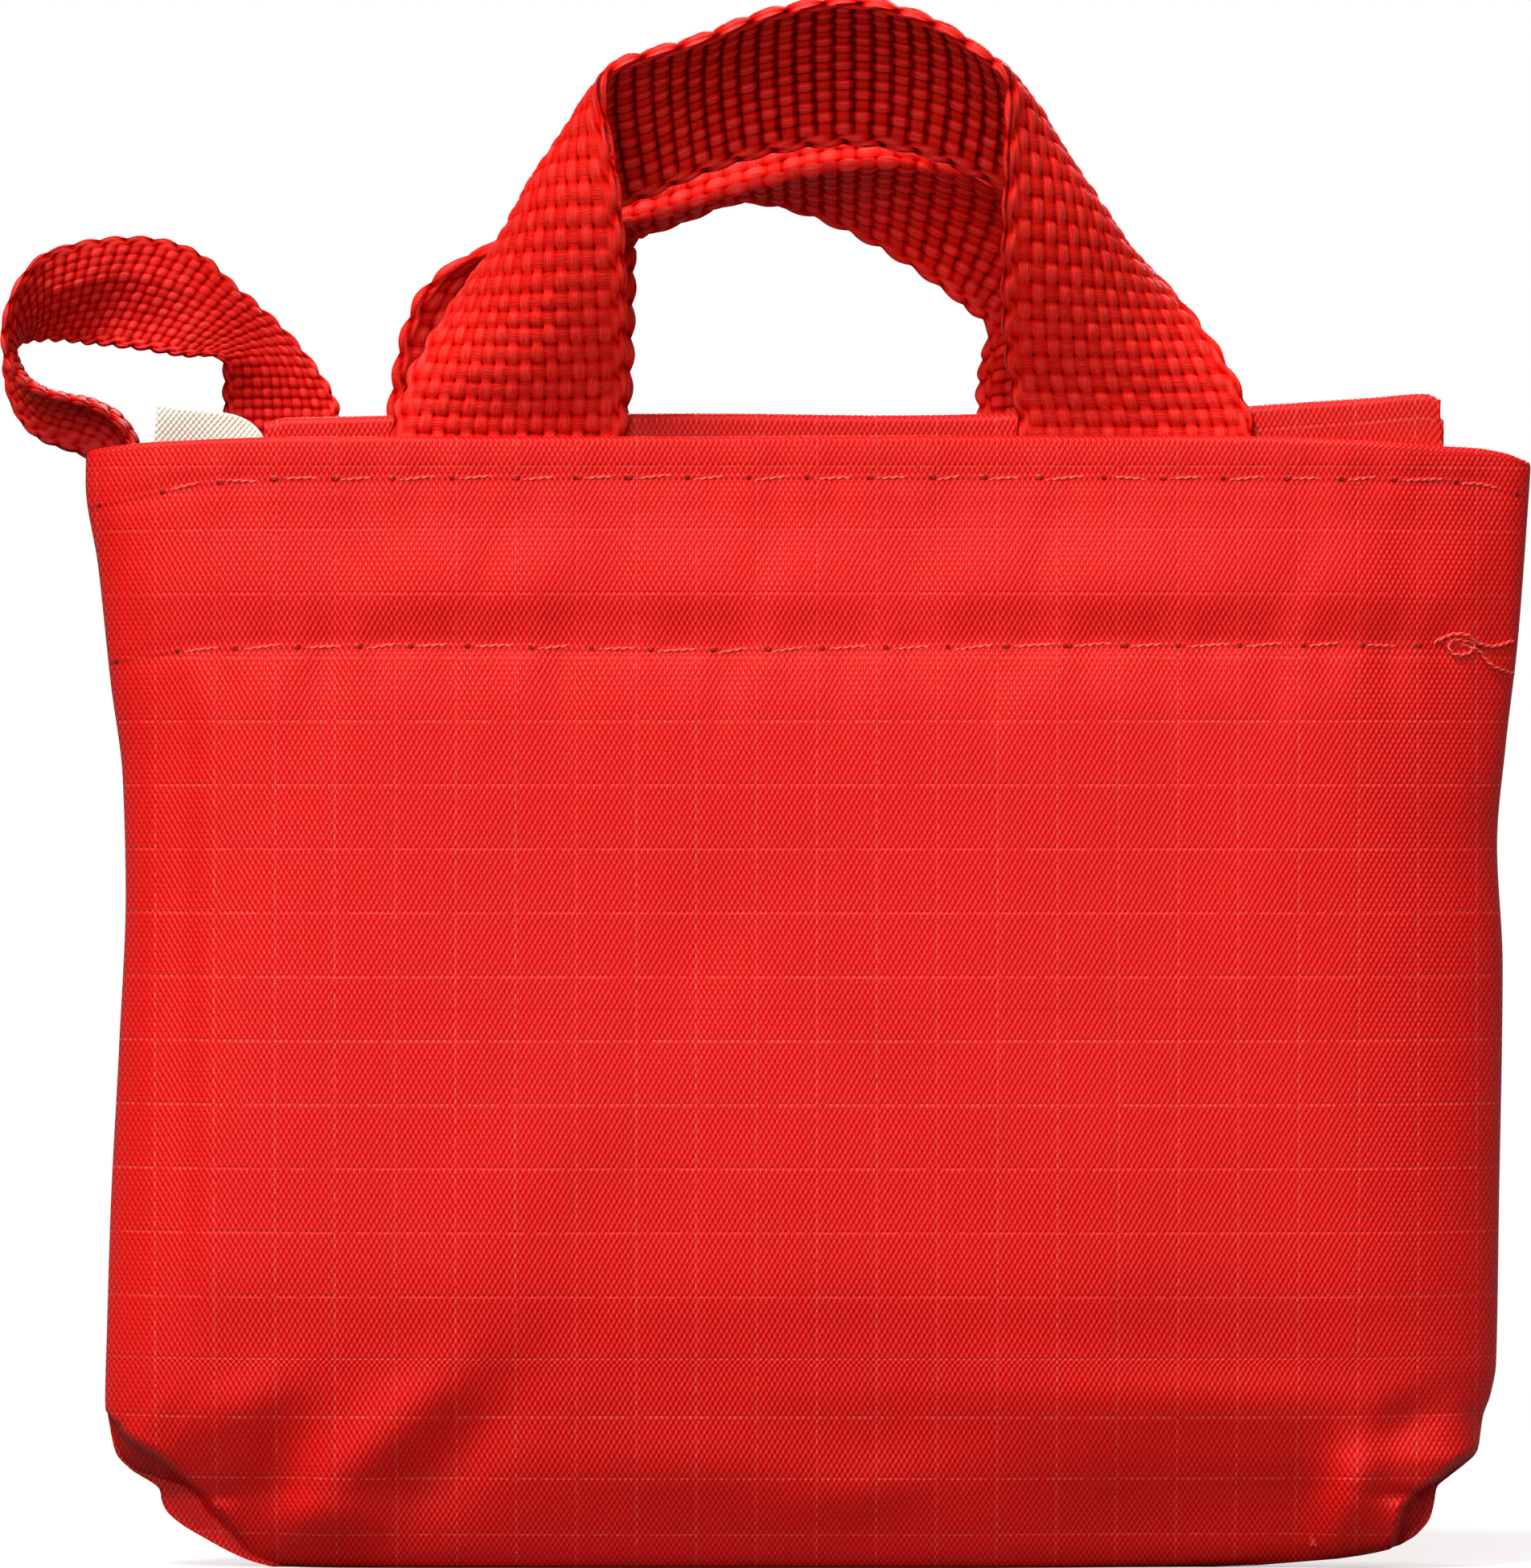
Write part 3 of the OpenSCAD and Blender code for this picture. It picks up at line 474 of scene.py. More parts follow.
def panel_bump(x, z, front):
    """How far the cloth stands out from the plain pillow shape, in mm."""
    b = 0.75 * waves(x, z * 0.6, 3 if front else 11, 8, 22, 60) + 0.07 * waves(x, z, 5 if front else 13, 8, 6, 13)
    b -= 1.3 * smooth(56, 77, x) * smooth(80, 100, z) + 0.7 * smooth(54, 76, x) * smooth(14, 30, z)
    ra, rb = table(ROW_A, x), table(ROW_B, x)
    r = np.random.default_rng(21 if front else 22)
    # gathers along both rows of stitching
    for row, amp, ph in ((ra, 0.34, 0.5), (rb, 0.42, 0.18)):
        fade = np.exp(-(((z - row) / 3.2) ** 2))
        k = np.floor((x / 6.3) + 100 + ph).astype(int)
        rnd = r.uniform(0.35, 1.2, 260)
        t = (x / 6.3 + 100 + ph) - k
        b += amp * rnd[np.clip(k, 0, 259)] * np.sin(math.pi * t) ** 2 * fade
        b -= 0.34 * np.exp(-(((z - row) / 0.8) ** 2))
    # slack in the hem between the rows: it bellies out and drops back to the lower stitching
    hump = smooth(98.9, 104.6, z) * (1 - smooth(105.2, 115.5, z))
    m = np.full(x.shape, 0.36)
    for cx, wd, hh in ((-58, 4, 0.25), (-41, 7.5, 0.72), (-29, 3.5, 0.45), (-12.5, 6.5, 0.66), (2, 5, 0.4), (17, 4, 0.45), (32, 8.5, 0.78), (44, 4, 0.4), (58, 5, 0.5), (69, 3, 0.3)):
        m += hh * np.exp(-(((x - cx - 0.25 * (z - 102) * (1 if int(cx) % 2 else -1)) / (1.45 * wd)) ** 2))
    b += 1.2 * hump * m * smooth(78, 70, np.abs(x))
    for cx, cz, w_, h_, a_, q in ((-48, 108, 2.0, 5, 24, 0.30), (-34, 107, 1.8, 5.5, -18, 0.28), (-20, 106, 1.8, 5, 12, 0.26), (-5, 107, 2.0, 5, -20, 0.28), (11, 106, 1.8, 5, 20, 0.26), (25, 107.5, 2.0, 5, -12, 0.30), (40, 107, 1.9, 5, 16, 0.3), (52, 106, 2, 5, -18, 0.28), (64, 107, 2, 5, 14, 0.3)):
        b -= q * gauss(x, z, cx, cz, w_, h_, a_) * smooth(98.8, 101, z)
    # short tucks hanging from the lower stitching
    for cx, w_, h_, a_, q in ((-62, 1.8, 4, 10, 0.3), (-52, 2.2, 6, -8, 0.35), (-38, 1.9, 5, 12, 0.3), (-26, 2.2, 6, 6, 0.35), (-9, 2.2, 7, -6, 0.4), (3, 1.8, 5, 10, 0.3), (20, 2.4, 6, -10, 0.35), (38, 2.0, 6, 8, 0.35), (50, 2.0, 5, -6, 0.3), (62, 2.2, 6, 10, 0.35)):
        b -= q * gauss(x, z, cx, 94.5, w_, h_, a_) * smooth(98.6, 96.5, z)
    if front:
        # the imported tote's folded bulk pressing through
        b += 0.8 * smooth(-67.0, -63.4, x) * smooth(78, 56, x) * smooth(20, 34, z) * (1 - smooth(92, 100, z))
        b += 0.5 * gauss(x, z, -70.5, 62, 2.6, 36)
        b += 0.9 * gauss(x, z, 22, 66, 34, 40) + 0.5 * gauss(x, z, 5, 92, 40, 12)
        b -= 0.45 * gauss(x, z, -20, 58, 14, 30) + 0.3 * gauss(x, z, 44, 60, 8, 34)
        # bottom: dents and ridges where the base turns under
        b += 1.3 * gauss(x, z, -46, 13.5, 12, 3.4, 44) + 0.9 * gauss(x, z, -50, 5.5, 7, 3)
        b -= 1.1 * gauss(x, z, -38.5, 11.5, 11, 4.0, 46) + 1.6 * gauss(x, z, -56.8, 9.5, 7.0, 3.6, 72)
        b += 0.6 * gauss(x, z, -60, 18, 7, 3, 30)
        b -= 1.7 * smooth(16.8, 4.0, z) * smooth(14, 36, x) * smooth(60, 52, x)
        b += 0.5 * gauss(x, z, 6, 8.5, 7, 3.0, 10)
        b += 0.55 * gauss(x, z, 44, 18.6, 18, 3.2, -2) + 0.2 * gauss(x, z, 12, 19.5, 20, 4.0, 2)
        b += 1.9 * gauss(x, z, 58.2, 8.5, 6.0, 2.6, 76)
        b -= 0.8 * gauss(x, z, 64, 16, 6, 2.5, 30)
        b += 0.6 * gauss(x, z, -10, 11, 18, 5, -3)
        b -= 0.5 * gauss(x, z, -12, 66, 5, 10, -20) + 0.45 * gauss(x, z, 8, 50, 5, 14, 24) + 0.4 * gauss(x, z, -44, 48, 6, 16, 12)
        b += 0.5 * gauss(x, z, -30, 40, 7, 16, -30) + 0.5 * gauss(x, z, 30, 40, 8, 14, 30) + 0.35 * gauss(x, z, 48, 74, 6, 16, -14)
    else:
        b += 0.8 * gauss(x, z, -14, 60, 36, 36) - 0.5 * gauss(x, z, 30, 70, 12, 30)
        b += 0.9 * gauss(x, z, -30, 12, 14, 4, 30) - 0.9 * gauss(x, z, 12, 12, 18, 5, -8) + 0.8 * gauss(x, z, 44, 11, 8, 5, -30)
    return b


def shell(x01, z, off, front):
    """Point on the pouch at u in -1..1 and height z, off millimetres inside the outer face."""
    sgn = -1 if front else 1
    L, R = table(LEFT, z), table(RIGHT, z)
    X = np.where(x01 < 0, x01 * (L - off), x01 * (R - off))
    sw = np.sqrt(np.maximum(0, 1 - np.abs(x01) ** 6))
    dep = table(DEPTH, z)
    b = panel_bump(X, z, front) * smooth(0.0, 0.8, sw)
    Y = (dep - off) * sw + b * np.where(np.asarray(off) < 0.7, 1.0, 0.9)
    # squared-off corners: the panel's edge folds over the tucked-in cloth
    for line in (FOLD_L, FOLD_R):
        near = (np.abs(X - np.mean([p[0] for p in line])) < 26) & (z < 26)
        d, t = poly_dist(X, z, line)
        arch = np.sin(np.clip(t, 0.0, 1) * math.pi) ** 0.7
        hgt = (3.3 if line is FOLD_R else 0.9) * arch
        Y = Y + np.where(near, hgt * smooth(-0.1, 0.45, d) * np.exp(-np.maximum(d, 0) / 4.5), 0)
        if line is FOLD_L:
            sink = 2.1 * smooth(0.05, 0.45, t) * np.exp(-((np.maximum(d, 0) / 6.0) ** 2)) * smooth(-9, -1, d)
            Y = Y - np.where(near, sink, 0)
        tuck = np.where(near, smooth(0.1, -0.9, d), 0)
        Y = Y - tuck * 1.6 + np.where(near, 0.10 * np.clip(d, -14, 0), 0)
    # crease across the tucked cloth, level with the notch in the outline
    for sx, zz in ((-68.5, 7.6), (66.6, 8.0)):
        Y = Y - 1.6 * np.exp(-(((z - zz) / 0.7) ** 2)) * np.exp(-(((X - sx) / 4.5) ** 2))
    return np.stack([X, sgn * np.maximum(Y, 0.05), z], -1), X


def tucked_shade(x, z):
    """Painted shade mask: 1 on the cloth tucked in under the squared-off corners, which the pouch colour darkens as
    shade under the fold.
    """
    out = np.zeros_like(x)
    for line, side in ((FOLD_L, -1), (FOLD_R, 1)):
        near = (np.abs(x - np.mean([p[0] for p in line])) < 26) & (z < 26) & (x * side > 0)
        d, _ = poly_dist(x, z, line)
        deep = 0.08 + 0.85 * smooth(6.6, 8.4, z) if side < 0 else 0.85
        out = np.maximum(out, np.where(near, smooth(0.15, -0.55, d) * deep, 0))
    return out


def u_columns():
    a = np.linspace(-1, 1, 241)
    return np.sign(a) * (1 - (1 - np.abs(a)) ** 1.35)


def half_shell(front):
    us = u_columns()
    m = len(us)
    rows, vs, offs = [], [], []
    top = lambda X: table(TOP, X)
    grids, V = [], []
    # inner leg of the hem, up to the fold
    T = 1.35
    xa = np.where(us < 0, us * 76.6, us * 77.1)
    zt = top(xa)
    levels = []
    for f in np.linspace(1, 0, 14):
        levels.append((zt - 0.68 - f * 22.6, np.full(m, T)))
    for th in np.linspace(165, 15, 7):
        levels.append((zt - 0.68 + 0.68 * math.sin(math.radians(th)), np.full(m, T / 2 * (1 - math.cos(math.radians(th))))))
    n1 = 98
    for f in np.linspace(0, 1, n1)[0:]:
        levels.append(((zt - 0.68) * (1 - f) + 22.0 * f, np.zeros(m)))
    for f in np.linspace(0, 1, 64)[1:]:
        levels.append((np.full(m, 22.0 * (1 - f)), np.zeros(m)))
    P, X = [], []
    for z, off in levels:
        p, x = shell(us, z, off, front)
        P.append(p)
        X.append(x)
    # underside, in to the bottom seam
    last = P[-1]
    for f in np.linspace(0, 1, 9)[1:]:
        q = last.copy()
        q[:, 1] = last[:, 1] * (1 - f) + (-0.05 if front else 0.05) * f
        q[:, 2] = last[:, 2] - 0.0
        P.append(q)
        X.append(X[-1])
    S = np.array(P)
    X = np.array(X)
    N = normals(S)
    want = -1 if front else 1
    mid = N[60, m // 2, 1]
    if np.sign(mid) != want:
        N = -N
    # cloth length down the middle gives the second UV direction
    c = S[:, m // 2]
    step = np.linalg.norm(np.diff(c, axis=0), axis=1)
    s = np.concatenate([[0], np.cumsum(step)])
    k0 = 21
    vlen = S[k0, m // 2, 2] - (s - s[k0])
    V = np.repeat(vlen[:, None], m, 1)
    outer = np.arange(len(S)) >= k0
    # on the flat face use true height, so both rows and grid lines stay level
    V[outer] = np.where(S[outer][:, :, 2] > 22, S[outer][:, :, 2], V[outer] - (V[outer][:, m // 2 : m // 2 + 1] * 0))
    uv = np.stack([X, V], -1)
    ra = S[:, :, 2] - table(ROW_A, X)
    rb = S[:, :, 2] - table(ROW_B, X)
    ra = np.where(S[:, :, 2] < 60, 50, ra)
    rb = np.where(S[:, :, 2] < 60, 50, rb)
    t = 0.17
    A, B = S - N * t, S + N * t
    if front:
        A, B = B, A
    keep = smooth(0, 0.8, np.abs(S[:, :, 1]))[:, :, None]
    A[:, :, 1:2] = np.where(front, np.minimum(A[:, :, 1:2], -0.01), np.maximum(A[:, :, 1:2], 0.01))
    B[:, :, 1:2] = np.where(front, np.minimum(B[:, :, 1:2], -0.01), np.maximum(B[:, :, 1:2], 0.01))
    A[:, :, 2] = np.maximum(A[:, :, 2], 0.0)
    B[:, :, 2] = np.maximum(B[:, :, 2], 0.0)
    name = "front_panel_cloth" if front else "back_panel_cloth"
    ob = closed_sheet(name, A, B, uv, {"row_a": ra, "row_b": rb, "tuck": tucked_shade(S[:, :, 0], S[:, :, 2])})
    ob.data.materials.append(M_POUCH)
    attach(ob, "pouch")
    if front:
        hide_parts("pouch_front_panel", "front_hem_facing")
    else:
        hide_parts("pouch_back_panel", "back_hem_facing")
    return ob


half_shell(True)
half_shell(False)


def on_shell(x, z, front, out=0.0):
    """Points on the outer face at given x and z."""
    x, z = np.asarray(x, float), np.asarray(z, float)
    L, R = table(LEFT, z), table(RIGHT, z)
    u = np.where(x < 0, x / L, x / R)
    p, _ = shell(u, z, np.zeros_like(z), front)
    p[..., 1] += (-1 if front else 1) * out
    return p


def stitch_rows(name, row, ph, x0, x1, front, node):
    paths = []
    r = np.random.default_rng(len(name) + int(100 * (ph + 1)))
    k0 = math.ceil(x0 / 6.3 + ph)
    k1 = math.floor(x1 / 6.3 + ph)
    for k in range(k0, k1):
        a, b = even((k - ph) * 6.3) + 0.25, even((k + 1 - ph) * 6.3) - 0.35
        b = b - r.uniform(0.1, 1.5)
        t = np.linspace(0, 1, 15)
        x = a + (b - a) * t
        z = table(row, x) + r.uniform(-0.10, 0.10) + (t - 0.5) * r.uniform(0.1, 0.65) * (1 if r.uniform() < 0.85 else -1)
        p = on_shell(x, z, front, 0.0)
        # the thread bridges the dimples and dives into the cloth at both ends
        base = np.convolve(np.pad(p[:, 1], 2, mode="edge"), np.ones(5) / 5, "valid")
        lift = 0.28 * np.sin(math.pi * t ** 0.85) ** 0.5 - 0.07
        p[:, 1] = base + (-1 if front else 1) * lift
        paths.append(p)
    ob = tube(name, paths, 0.18, 10, 1.0, lambda s: 0.6 + 0.4 * np.sin(math.pi * np.clip(s, 0.02, 0.98)) ** 0.5)
    ob.data.materials.append(M_THREAD)
    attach(ob, "pouch")
    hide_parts(node)


stitch_rows("front_upper_thread", ROW_A, 0.0, -74.8, 76.9, True, "front_hem_upper_stitches")
stitch_rows("front_lower_thread", ROW_B, -0.32, -73.4, 69.0, True, "front_hem_lower_stitches")
stitch_rows("back_upper_thread", ROW_A, 0.0, -74.8, 76.0, False, "back_hem_upper_stitches")
stitch_rows("back_lower_thread", ROW_B, -0.32, -73.4, 75.0, False, "back_hem_lower_stitches")

# loose end of the lower row
tail = np.array([(66.4, 98.7), (67.6, 99.4), (69.0, 99.9), (70.6, 99.7), (71.2, 98.8), (70.6, 97.9), (69.2, 97.7), (68.4, 98.4), (69.0, 99.3), (71.2, 99.0), (73.2, 98.6), (75.4, 99.2)])
tail2 = np.array([(69.6, 98.9), (70.8, 98.5), (71.8, 98.0), (72.4, 97.2), (73.4, 96.4), (74.8, 95.9), (75.6, 95.7)])


def fine(p, n):
    s = np.linspace(0, len(p) - 1, n)
    i = np.clip(np.floor(s).astype(int), 0, len(p) - 2)
    f = (s - i)[:, None]
    g = lambda k: p[np.clip(k, 0, len(p) - 1)]
    a, b, c, d = g(i - 1), g(i), g(i + 1), g(i + 2)
    return 0.5 * (2 * b + (c - a) * f + (2 * a - 5 * b + 4 * c - d) * f**2 + (3 * b - a - 3 * c + d) * f**3)


paths = []
for p, lift in ((tail, 0.45), (tail2, 0.3)):
    q = fine(p, 70)
    w = on_shell(q[:, 0], q[:, 1], True, 0.0)
    w[:, 1] -= lift * smooth(0, 0.12, np.linspace(0, 1, 70)) + 0.25 * np.sin(np.linspace(0, 7, 70)) ** 2
    paths.append(w)
ob = tube("thread_end", paths, 0.2, 8)
ob.data.materials.append(M_THREAD)
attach(ob, "pouch")
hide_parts("loose_thread_tail")

# ---------------------------------------------------------------- webbing


def crspline(T, s):
    n = len(T)
    i = np.clip(np.floor(s).astype(int), 0, n - 2)
    f = (s - i).reshape((-1,) + (1,) * (T.ndim - 1))
    g = lambda k: T[np.clip(k, 0, n - 1)]
    a, b, c, d = g(i - 1), g(i), g(i + 1), g(i + 2)
    return 0.5 * (2 * b + (c - a) * f + (2 * a - 5 * b + 4 * c - d) * f**2 + (3 * b - a - 3 * c + d) * f**3)


def strap(name, rows, width, thick, yarns, pick, flip, crease=None, amp=0.30, vsub=4, usub=5, inner=0.22, gap_shade=0.85, upto=2.0):
    """A woven strap swept along rows of (inner edge, outer edge). The weave is real height in the mesh."""
    T = np.array(rows, float)
    s_f = np.linspace(0, len(T) - 1, 1600)
    c = crspline(T, s_f).mean(1)
    arc = np.concatenate([[0], np.cumsum(np.linalg.norm(np.diff(c, axis=0), axis=1))])
    total = arc[-1]
    picks = int(round(total / pick))
    nu = picks * usub + 1
    ua = np.linspace(0, total, nu)
    s = np.interp(ua, arc, s_f)
    E = crspline(T, s)
    P, Q = E[:, 0], E[:, 1]
    nv = yarns * vsub + 1
    v = np.concatenate([[0, 0.25 / width], np.linspace(0, 1, nv)[1:-1], [1 - 0.25 / width, 1]])
    tang = np.gradient((P + Q) / 2, axis=0)
    tang /= np.linalg.norm(tang, axis=1, keepdims=True)
    ch = Q - P
    L = np.linalg.norm(ch, axis=1)
    n = np.cross(ch, tang)
    n /= np.maximum(np.linalg.norm(n, axis=1, keepdims=True), 1e-9)
    n *= flip
    cc = np.minimum(L, width - 0.02)
    h = np.sqrt(np.maximum(3 * cc * (width - cc) / 8, 0))
    h = np.convolve(np.pad(h, 12, mode="edge"), np.ones(25) / 25, "valid")
    S = P[:, None] + ch[:, None] * v[None, :, None] + n[:, None] * (4 * h[:, None] * v * (1 - v))[:, :, None]
    if crease is not None:
        S = crease(S, s, v)
    for _ in range(3):
        S[1:-1] = (S[:-2] + 2 * S[1:-1] + S[2:]) / 4
    N = normals(S)
    U = np.repeat(ua[:, None], len(v), 1)
    W = v[None, :] * width
    yp = width / yarns
    r = np.random.default_rng(len(name))
    jit = r.uniform(-0.10, 0.10, yarns)
    wide = r.uniform(0.92, 1.06, yarns)
    lift = r.uniform(-0.05, 0.05, (picks + 3, yarns + 2)) * amp / 0.3
    pj = np.clip(np.round(U / pick), 0, picks).astype(int)
    kj = np.clip(np.floor(W / yp).astype(int), 0, yarns - 1)
    rnd = lift[pj, np.repeat(kj, len(U), 0)]
    sat = lambda x: np.tanh(1.6 * np.cos(x)) / math.tanh(1.6)
    warp_t = np.full(U.shape, -9.0)
    warp_b = np.full(U.shape, -9.0)
    hw = 0.47 * yp
    for k in range(yarns):
        vc = (k + 0.5) * yp
        ph = sat(math.pi * (U / pick + k) + jit[k])
        q = (W - vc) / (hw * wide[k])
        prof = 0.60 * hw * (np.sqrt(np.maximum(0.0, 1 - q**4)) - 1)
        ok = np.abs(q) < 1
        warp_t = np.where(ok, np.maximum(warp_t, amp * ph + prof), warp_t)
        warp_b = np.where(ok, np.maximum(warp_b, -amp * ph + prof), warp_b)
    # weft: fat yarns lying across, showing between the warp crowns
    du = (U / pick - np.round(U / pick)) / 0.5
    wprof = 0.26 * pick * (np.sqrt(np.maximum(0.0, 1 - np.abs(du / 0.92) ** 3)) - 1)
    cross = np.cos(math.pi * (np.round(U / pick) + W / yp - 0.5))
    weft_t = -0.60 * amp * cross + wprof + 0.06 * amp
    weft_b = 0.60 * amp * cross + wprof + 0.06 * amp
    top, bot = np.maximum(warp_t, weft_t) + rnd, np.maximum(warp_b, weft_b) - rnd
    isw_t = smooth(-0.06, 0.06, warp_t - weft_t)
    isw_b = smooth(-0.06, 0.06, warp_b - weft_b)
    top, bot = np.maximum(top, -1.2 * amp), np.maximum(bot, -1.2 * amp)
    # selvedge: paired yarns twisted together by the returning weft
    em = np.minimum(W, width - W)
    edge = smooth(1.1 * yp, 0.9 * yp, em) * np.ones_like(U)
    left = W < width / 2
    beat = 2 * pick
    phase = U / beat + np.where(left, 0.0, 0.5)
    sgn = np.where(left, 1.0, -1.0)
    swap = 0.5 * smooth(0.42 * yp, 0.62 * yp, em)
    lobe = np.abs(np.sin(math.pi * phase))
    ply = phase + swap + sgn * 0.34 * em / yp
    groove = np.abs(np.sin(math.pi * ply)) ** 0.7
    ply_b = phase + swap - sgn * 0.34 * em / yp
    groove_b = np.abs(np.sin(math.pi * ply_b)) ** 0.7
    hair = 0.025 * np.cos(TAU * (ply * 9))
    k3 = amp / 0.3
    top = top * (1 - edge) + edge * k3 * (0.58 * groove - 0.25 + hair)
    bot = bot * (1 - edge) + edge * k3 * (0.58 * groove_b - 0.25 + hair)
    round_ = np.sqrt(np.maximum(0.0, 1 - np.maximum(0, 1 - em / (0.55 * yp)) ** 2))
    round_ = np.maximum(round_, 0.12)
    dv = Q - P
    dv = dv / np.maximum(np.linalg.norm(dv, axis=1, keepdims=True), 1e-9)
    side = np.where(left, -1, 1) * smooth(1.2 * yp, 0.1 * yp, em) * (lobe - 0.6) * 0.34 * yp
    shift = dv[:, None] * side[:, :, None]
    A = S + shift + N * ((thick / 2 + top) * round_)[:, :, None]
    B = S + shift - N * ((thick / 2 + bot) * round_)[:, :, None]
    lo, hi = -1.1 * amp, 0.9 * amp
    ca = np.clip((top - lo) / (hi - lo), 0, 1)
    cb = np.clip((bot - lo) / (hi - lo), 0, 1)
    ca = ca * (1 - edge) + edge * (0.1 + 0.9 * groove)
    cb = cb * (1 - edge) + edge * (0.1 + 0.9 * groove_b)
    # painted shade: on the strap face that points down, the weave height used for colour is pushed lower, most in the
    # gaps between picks, so that face reads darker
    gap = 1 - gap_shade * smooth(0.45, 1.0, np.abs(du)) * (1 - edge) * smooth(upto + 0.02, upto - 0.03, v)[None, :]
    deep = lambda c: np.clip((c - inner) / (1 - inner), 0, 1) * gap
    if N[len(N) // 2, len(v) // 2, 2] < 0:
        ca = deep(ca)
    else:
        cb = deep(cb)
    uv = np.stack([U, np.repeat(W, len(U), 0)], -1)
    return closed_sheet(name, B, A, uv, {"weave_height_shade": (cb, ca), "warp": (np.maximum(isw_b, edge * 0.6), np.maximum(isw_t, edge * 0.6))})


HY = 5.6
FRONT = [
    ((-19.4, -HY, 97.2), (-44.4, -HY, 97.2)), ((-19.4, -HY, 103.5), (-44.4, -HY, 103.5)), ((-19.4, -HY, 109.8), (-44.4, -HY, 109.8)), ((-19.4, -HY, 116.2), (-44.7, -HY, 116.2)),
    ((-19.4, -5.8, 122.2), (-44.6, -5.4, 122.2)), ((-19.3, -8.2, 128.0), (-42.6, -4.4, 127.8)), ((-19.3, -12.6, 133.6), (-39.2, -1.9, 133.2)), ((-19.4, -16.8, 139.8), (-35.4, -1.0, 138.4)),
    ((-19.9, -19.4, 146.5), (-30.8, -0.8, 142.4)), ((-21.0, -20.6, 153.0), (-25.8, -0.8, 144.8)), ((-21.8, -21.0, 158.0), (-21.9, -0.8, 145.4)), ((-19.5, -21.0, 160.4), (-18.3, -0.8, 146.3)),
    ((-11.6, -20.6, 162.7), (-11.2, -0.8, 149.2)), ((-3.9, -20.3, 165.6), (-3.6, -0.8, 151.4)), ((4.5, -20.2, 166.9), (4.6, -0.8, 152.3)), ((12.4, -20.5, 164.9), (12.4, -0.8, 151.1)),
    ((18.6, -21.0, 161.0), (19.6, -0.8, 148.2)), ((20.9, -21.2, 158.4), (24.2, -0.8, 145.6)), ((20.8, -20.8, 152.6), (28.6, -0.8, 143.6)), ((20.6, -19.4, 146.0), (33.4, -0.8, 140.9)),
    ((20.5, -16.8, 139.6), (37.8, -1.0, 137.4)), ((20.6, -12.6, 133.4), (42.0, -1.9, 132.8)), ((21.2, -8.2, 128.0), (45.4, -4.4, 127.8)), ((22.3, -5.8, 122.2), (47.6, -5.4, 122.2)),
    ((22.6, -HY, 116.2), (47.8, -HY, 116.2)), ((22.6, -HY, 109.8), (47.6, -HY, 109.8)), ((22.6, -HY, 103.5), (47.6, -HY, 103.5)), ((22.6, -HY, 97.2), (47.6, -HY, 97.2)),
]
BACK = [
    ((-19.6, HY, 97.2), (-44.6, HY, 97.2)), ((-19.6, HY, 103.5), (-44.6, HY, 103.5)), ((-19.6, HY, 109.8), (-44.6, HY, 109.8)), ((-19.6, HY, 116.2), (-44.9, HY, 116.2)),
    ((-19.3, 6.0, 122.2), (-45.3, 5.2, 122.2)), ((-18.9, 8.6, 128.0), (-44.6, 4.0, 128.0)), ((-18.8, 12.4, 133.4), (-43.2, 2.6, 133.6)), ((-18.7, 15.4, 138.0), (-40.4, 1.6, 138.0)),
    ((-18.7, 17.6, 141.6), (-34.6, 1.1, 140.8)), ((-18.6, 18.6, 143.2), (-26.6, 0.9, 142.6)), ((-17.6, 18.8, 143.6), (-20.3, 0.8, 143.7)), ((-13.1, 19.0, 145.2), (-14.9, 0.7, 145.1)),
    ((-8.1, 19.2, 147.1), (-9.5, 0.7, 146.9)), ((-3.6, 19.0, 146.8), (-4.2, 0.7, 148.4)), ((1.0, 18.8, 145.4), (0.6, 0.7, 149.6)), ((5.4, 18.0, 143.4), (5.4, 0.7, 150.2)),
    ((9.6, 17.0, 141.0), (10.6, 0.7, 150.4)), ((13.6, 16.0, 138.2), (15.4, 0.8, 149.4)), ((17.0, 14.8, 135.4), (21.4, 0.9, 147.2)), ((19.4, 13.4, 133.2), (27.6, 1.2, 143.4)),
    ((18.7, 11.0, 130.0), (34.2, 2.0, 138.0)), ((18.2, 8.0, 126.2), (40.2, 3.6, 131.0)), ((18.3, 5.8, 121.6), (43.6, 5.2, 123.4)), ((18.6, HY, 116.0), (43.8, HY, 116.2)),
    ((18.7, HY, 109.8), (43.7, HY, 109.8)), ((18.7, HY, 103.5), (43.7, HY, 103.5)), ((18.7, HY, 97.2), (43.7, HY, 97.2)),
]
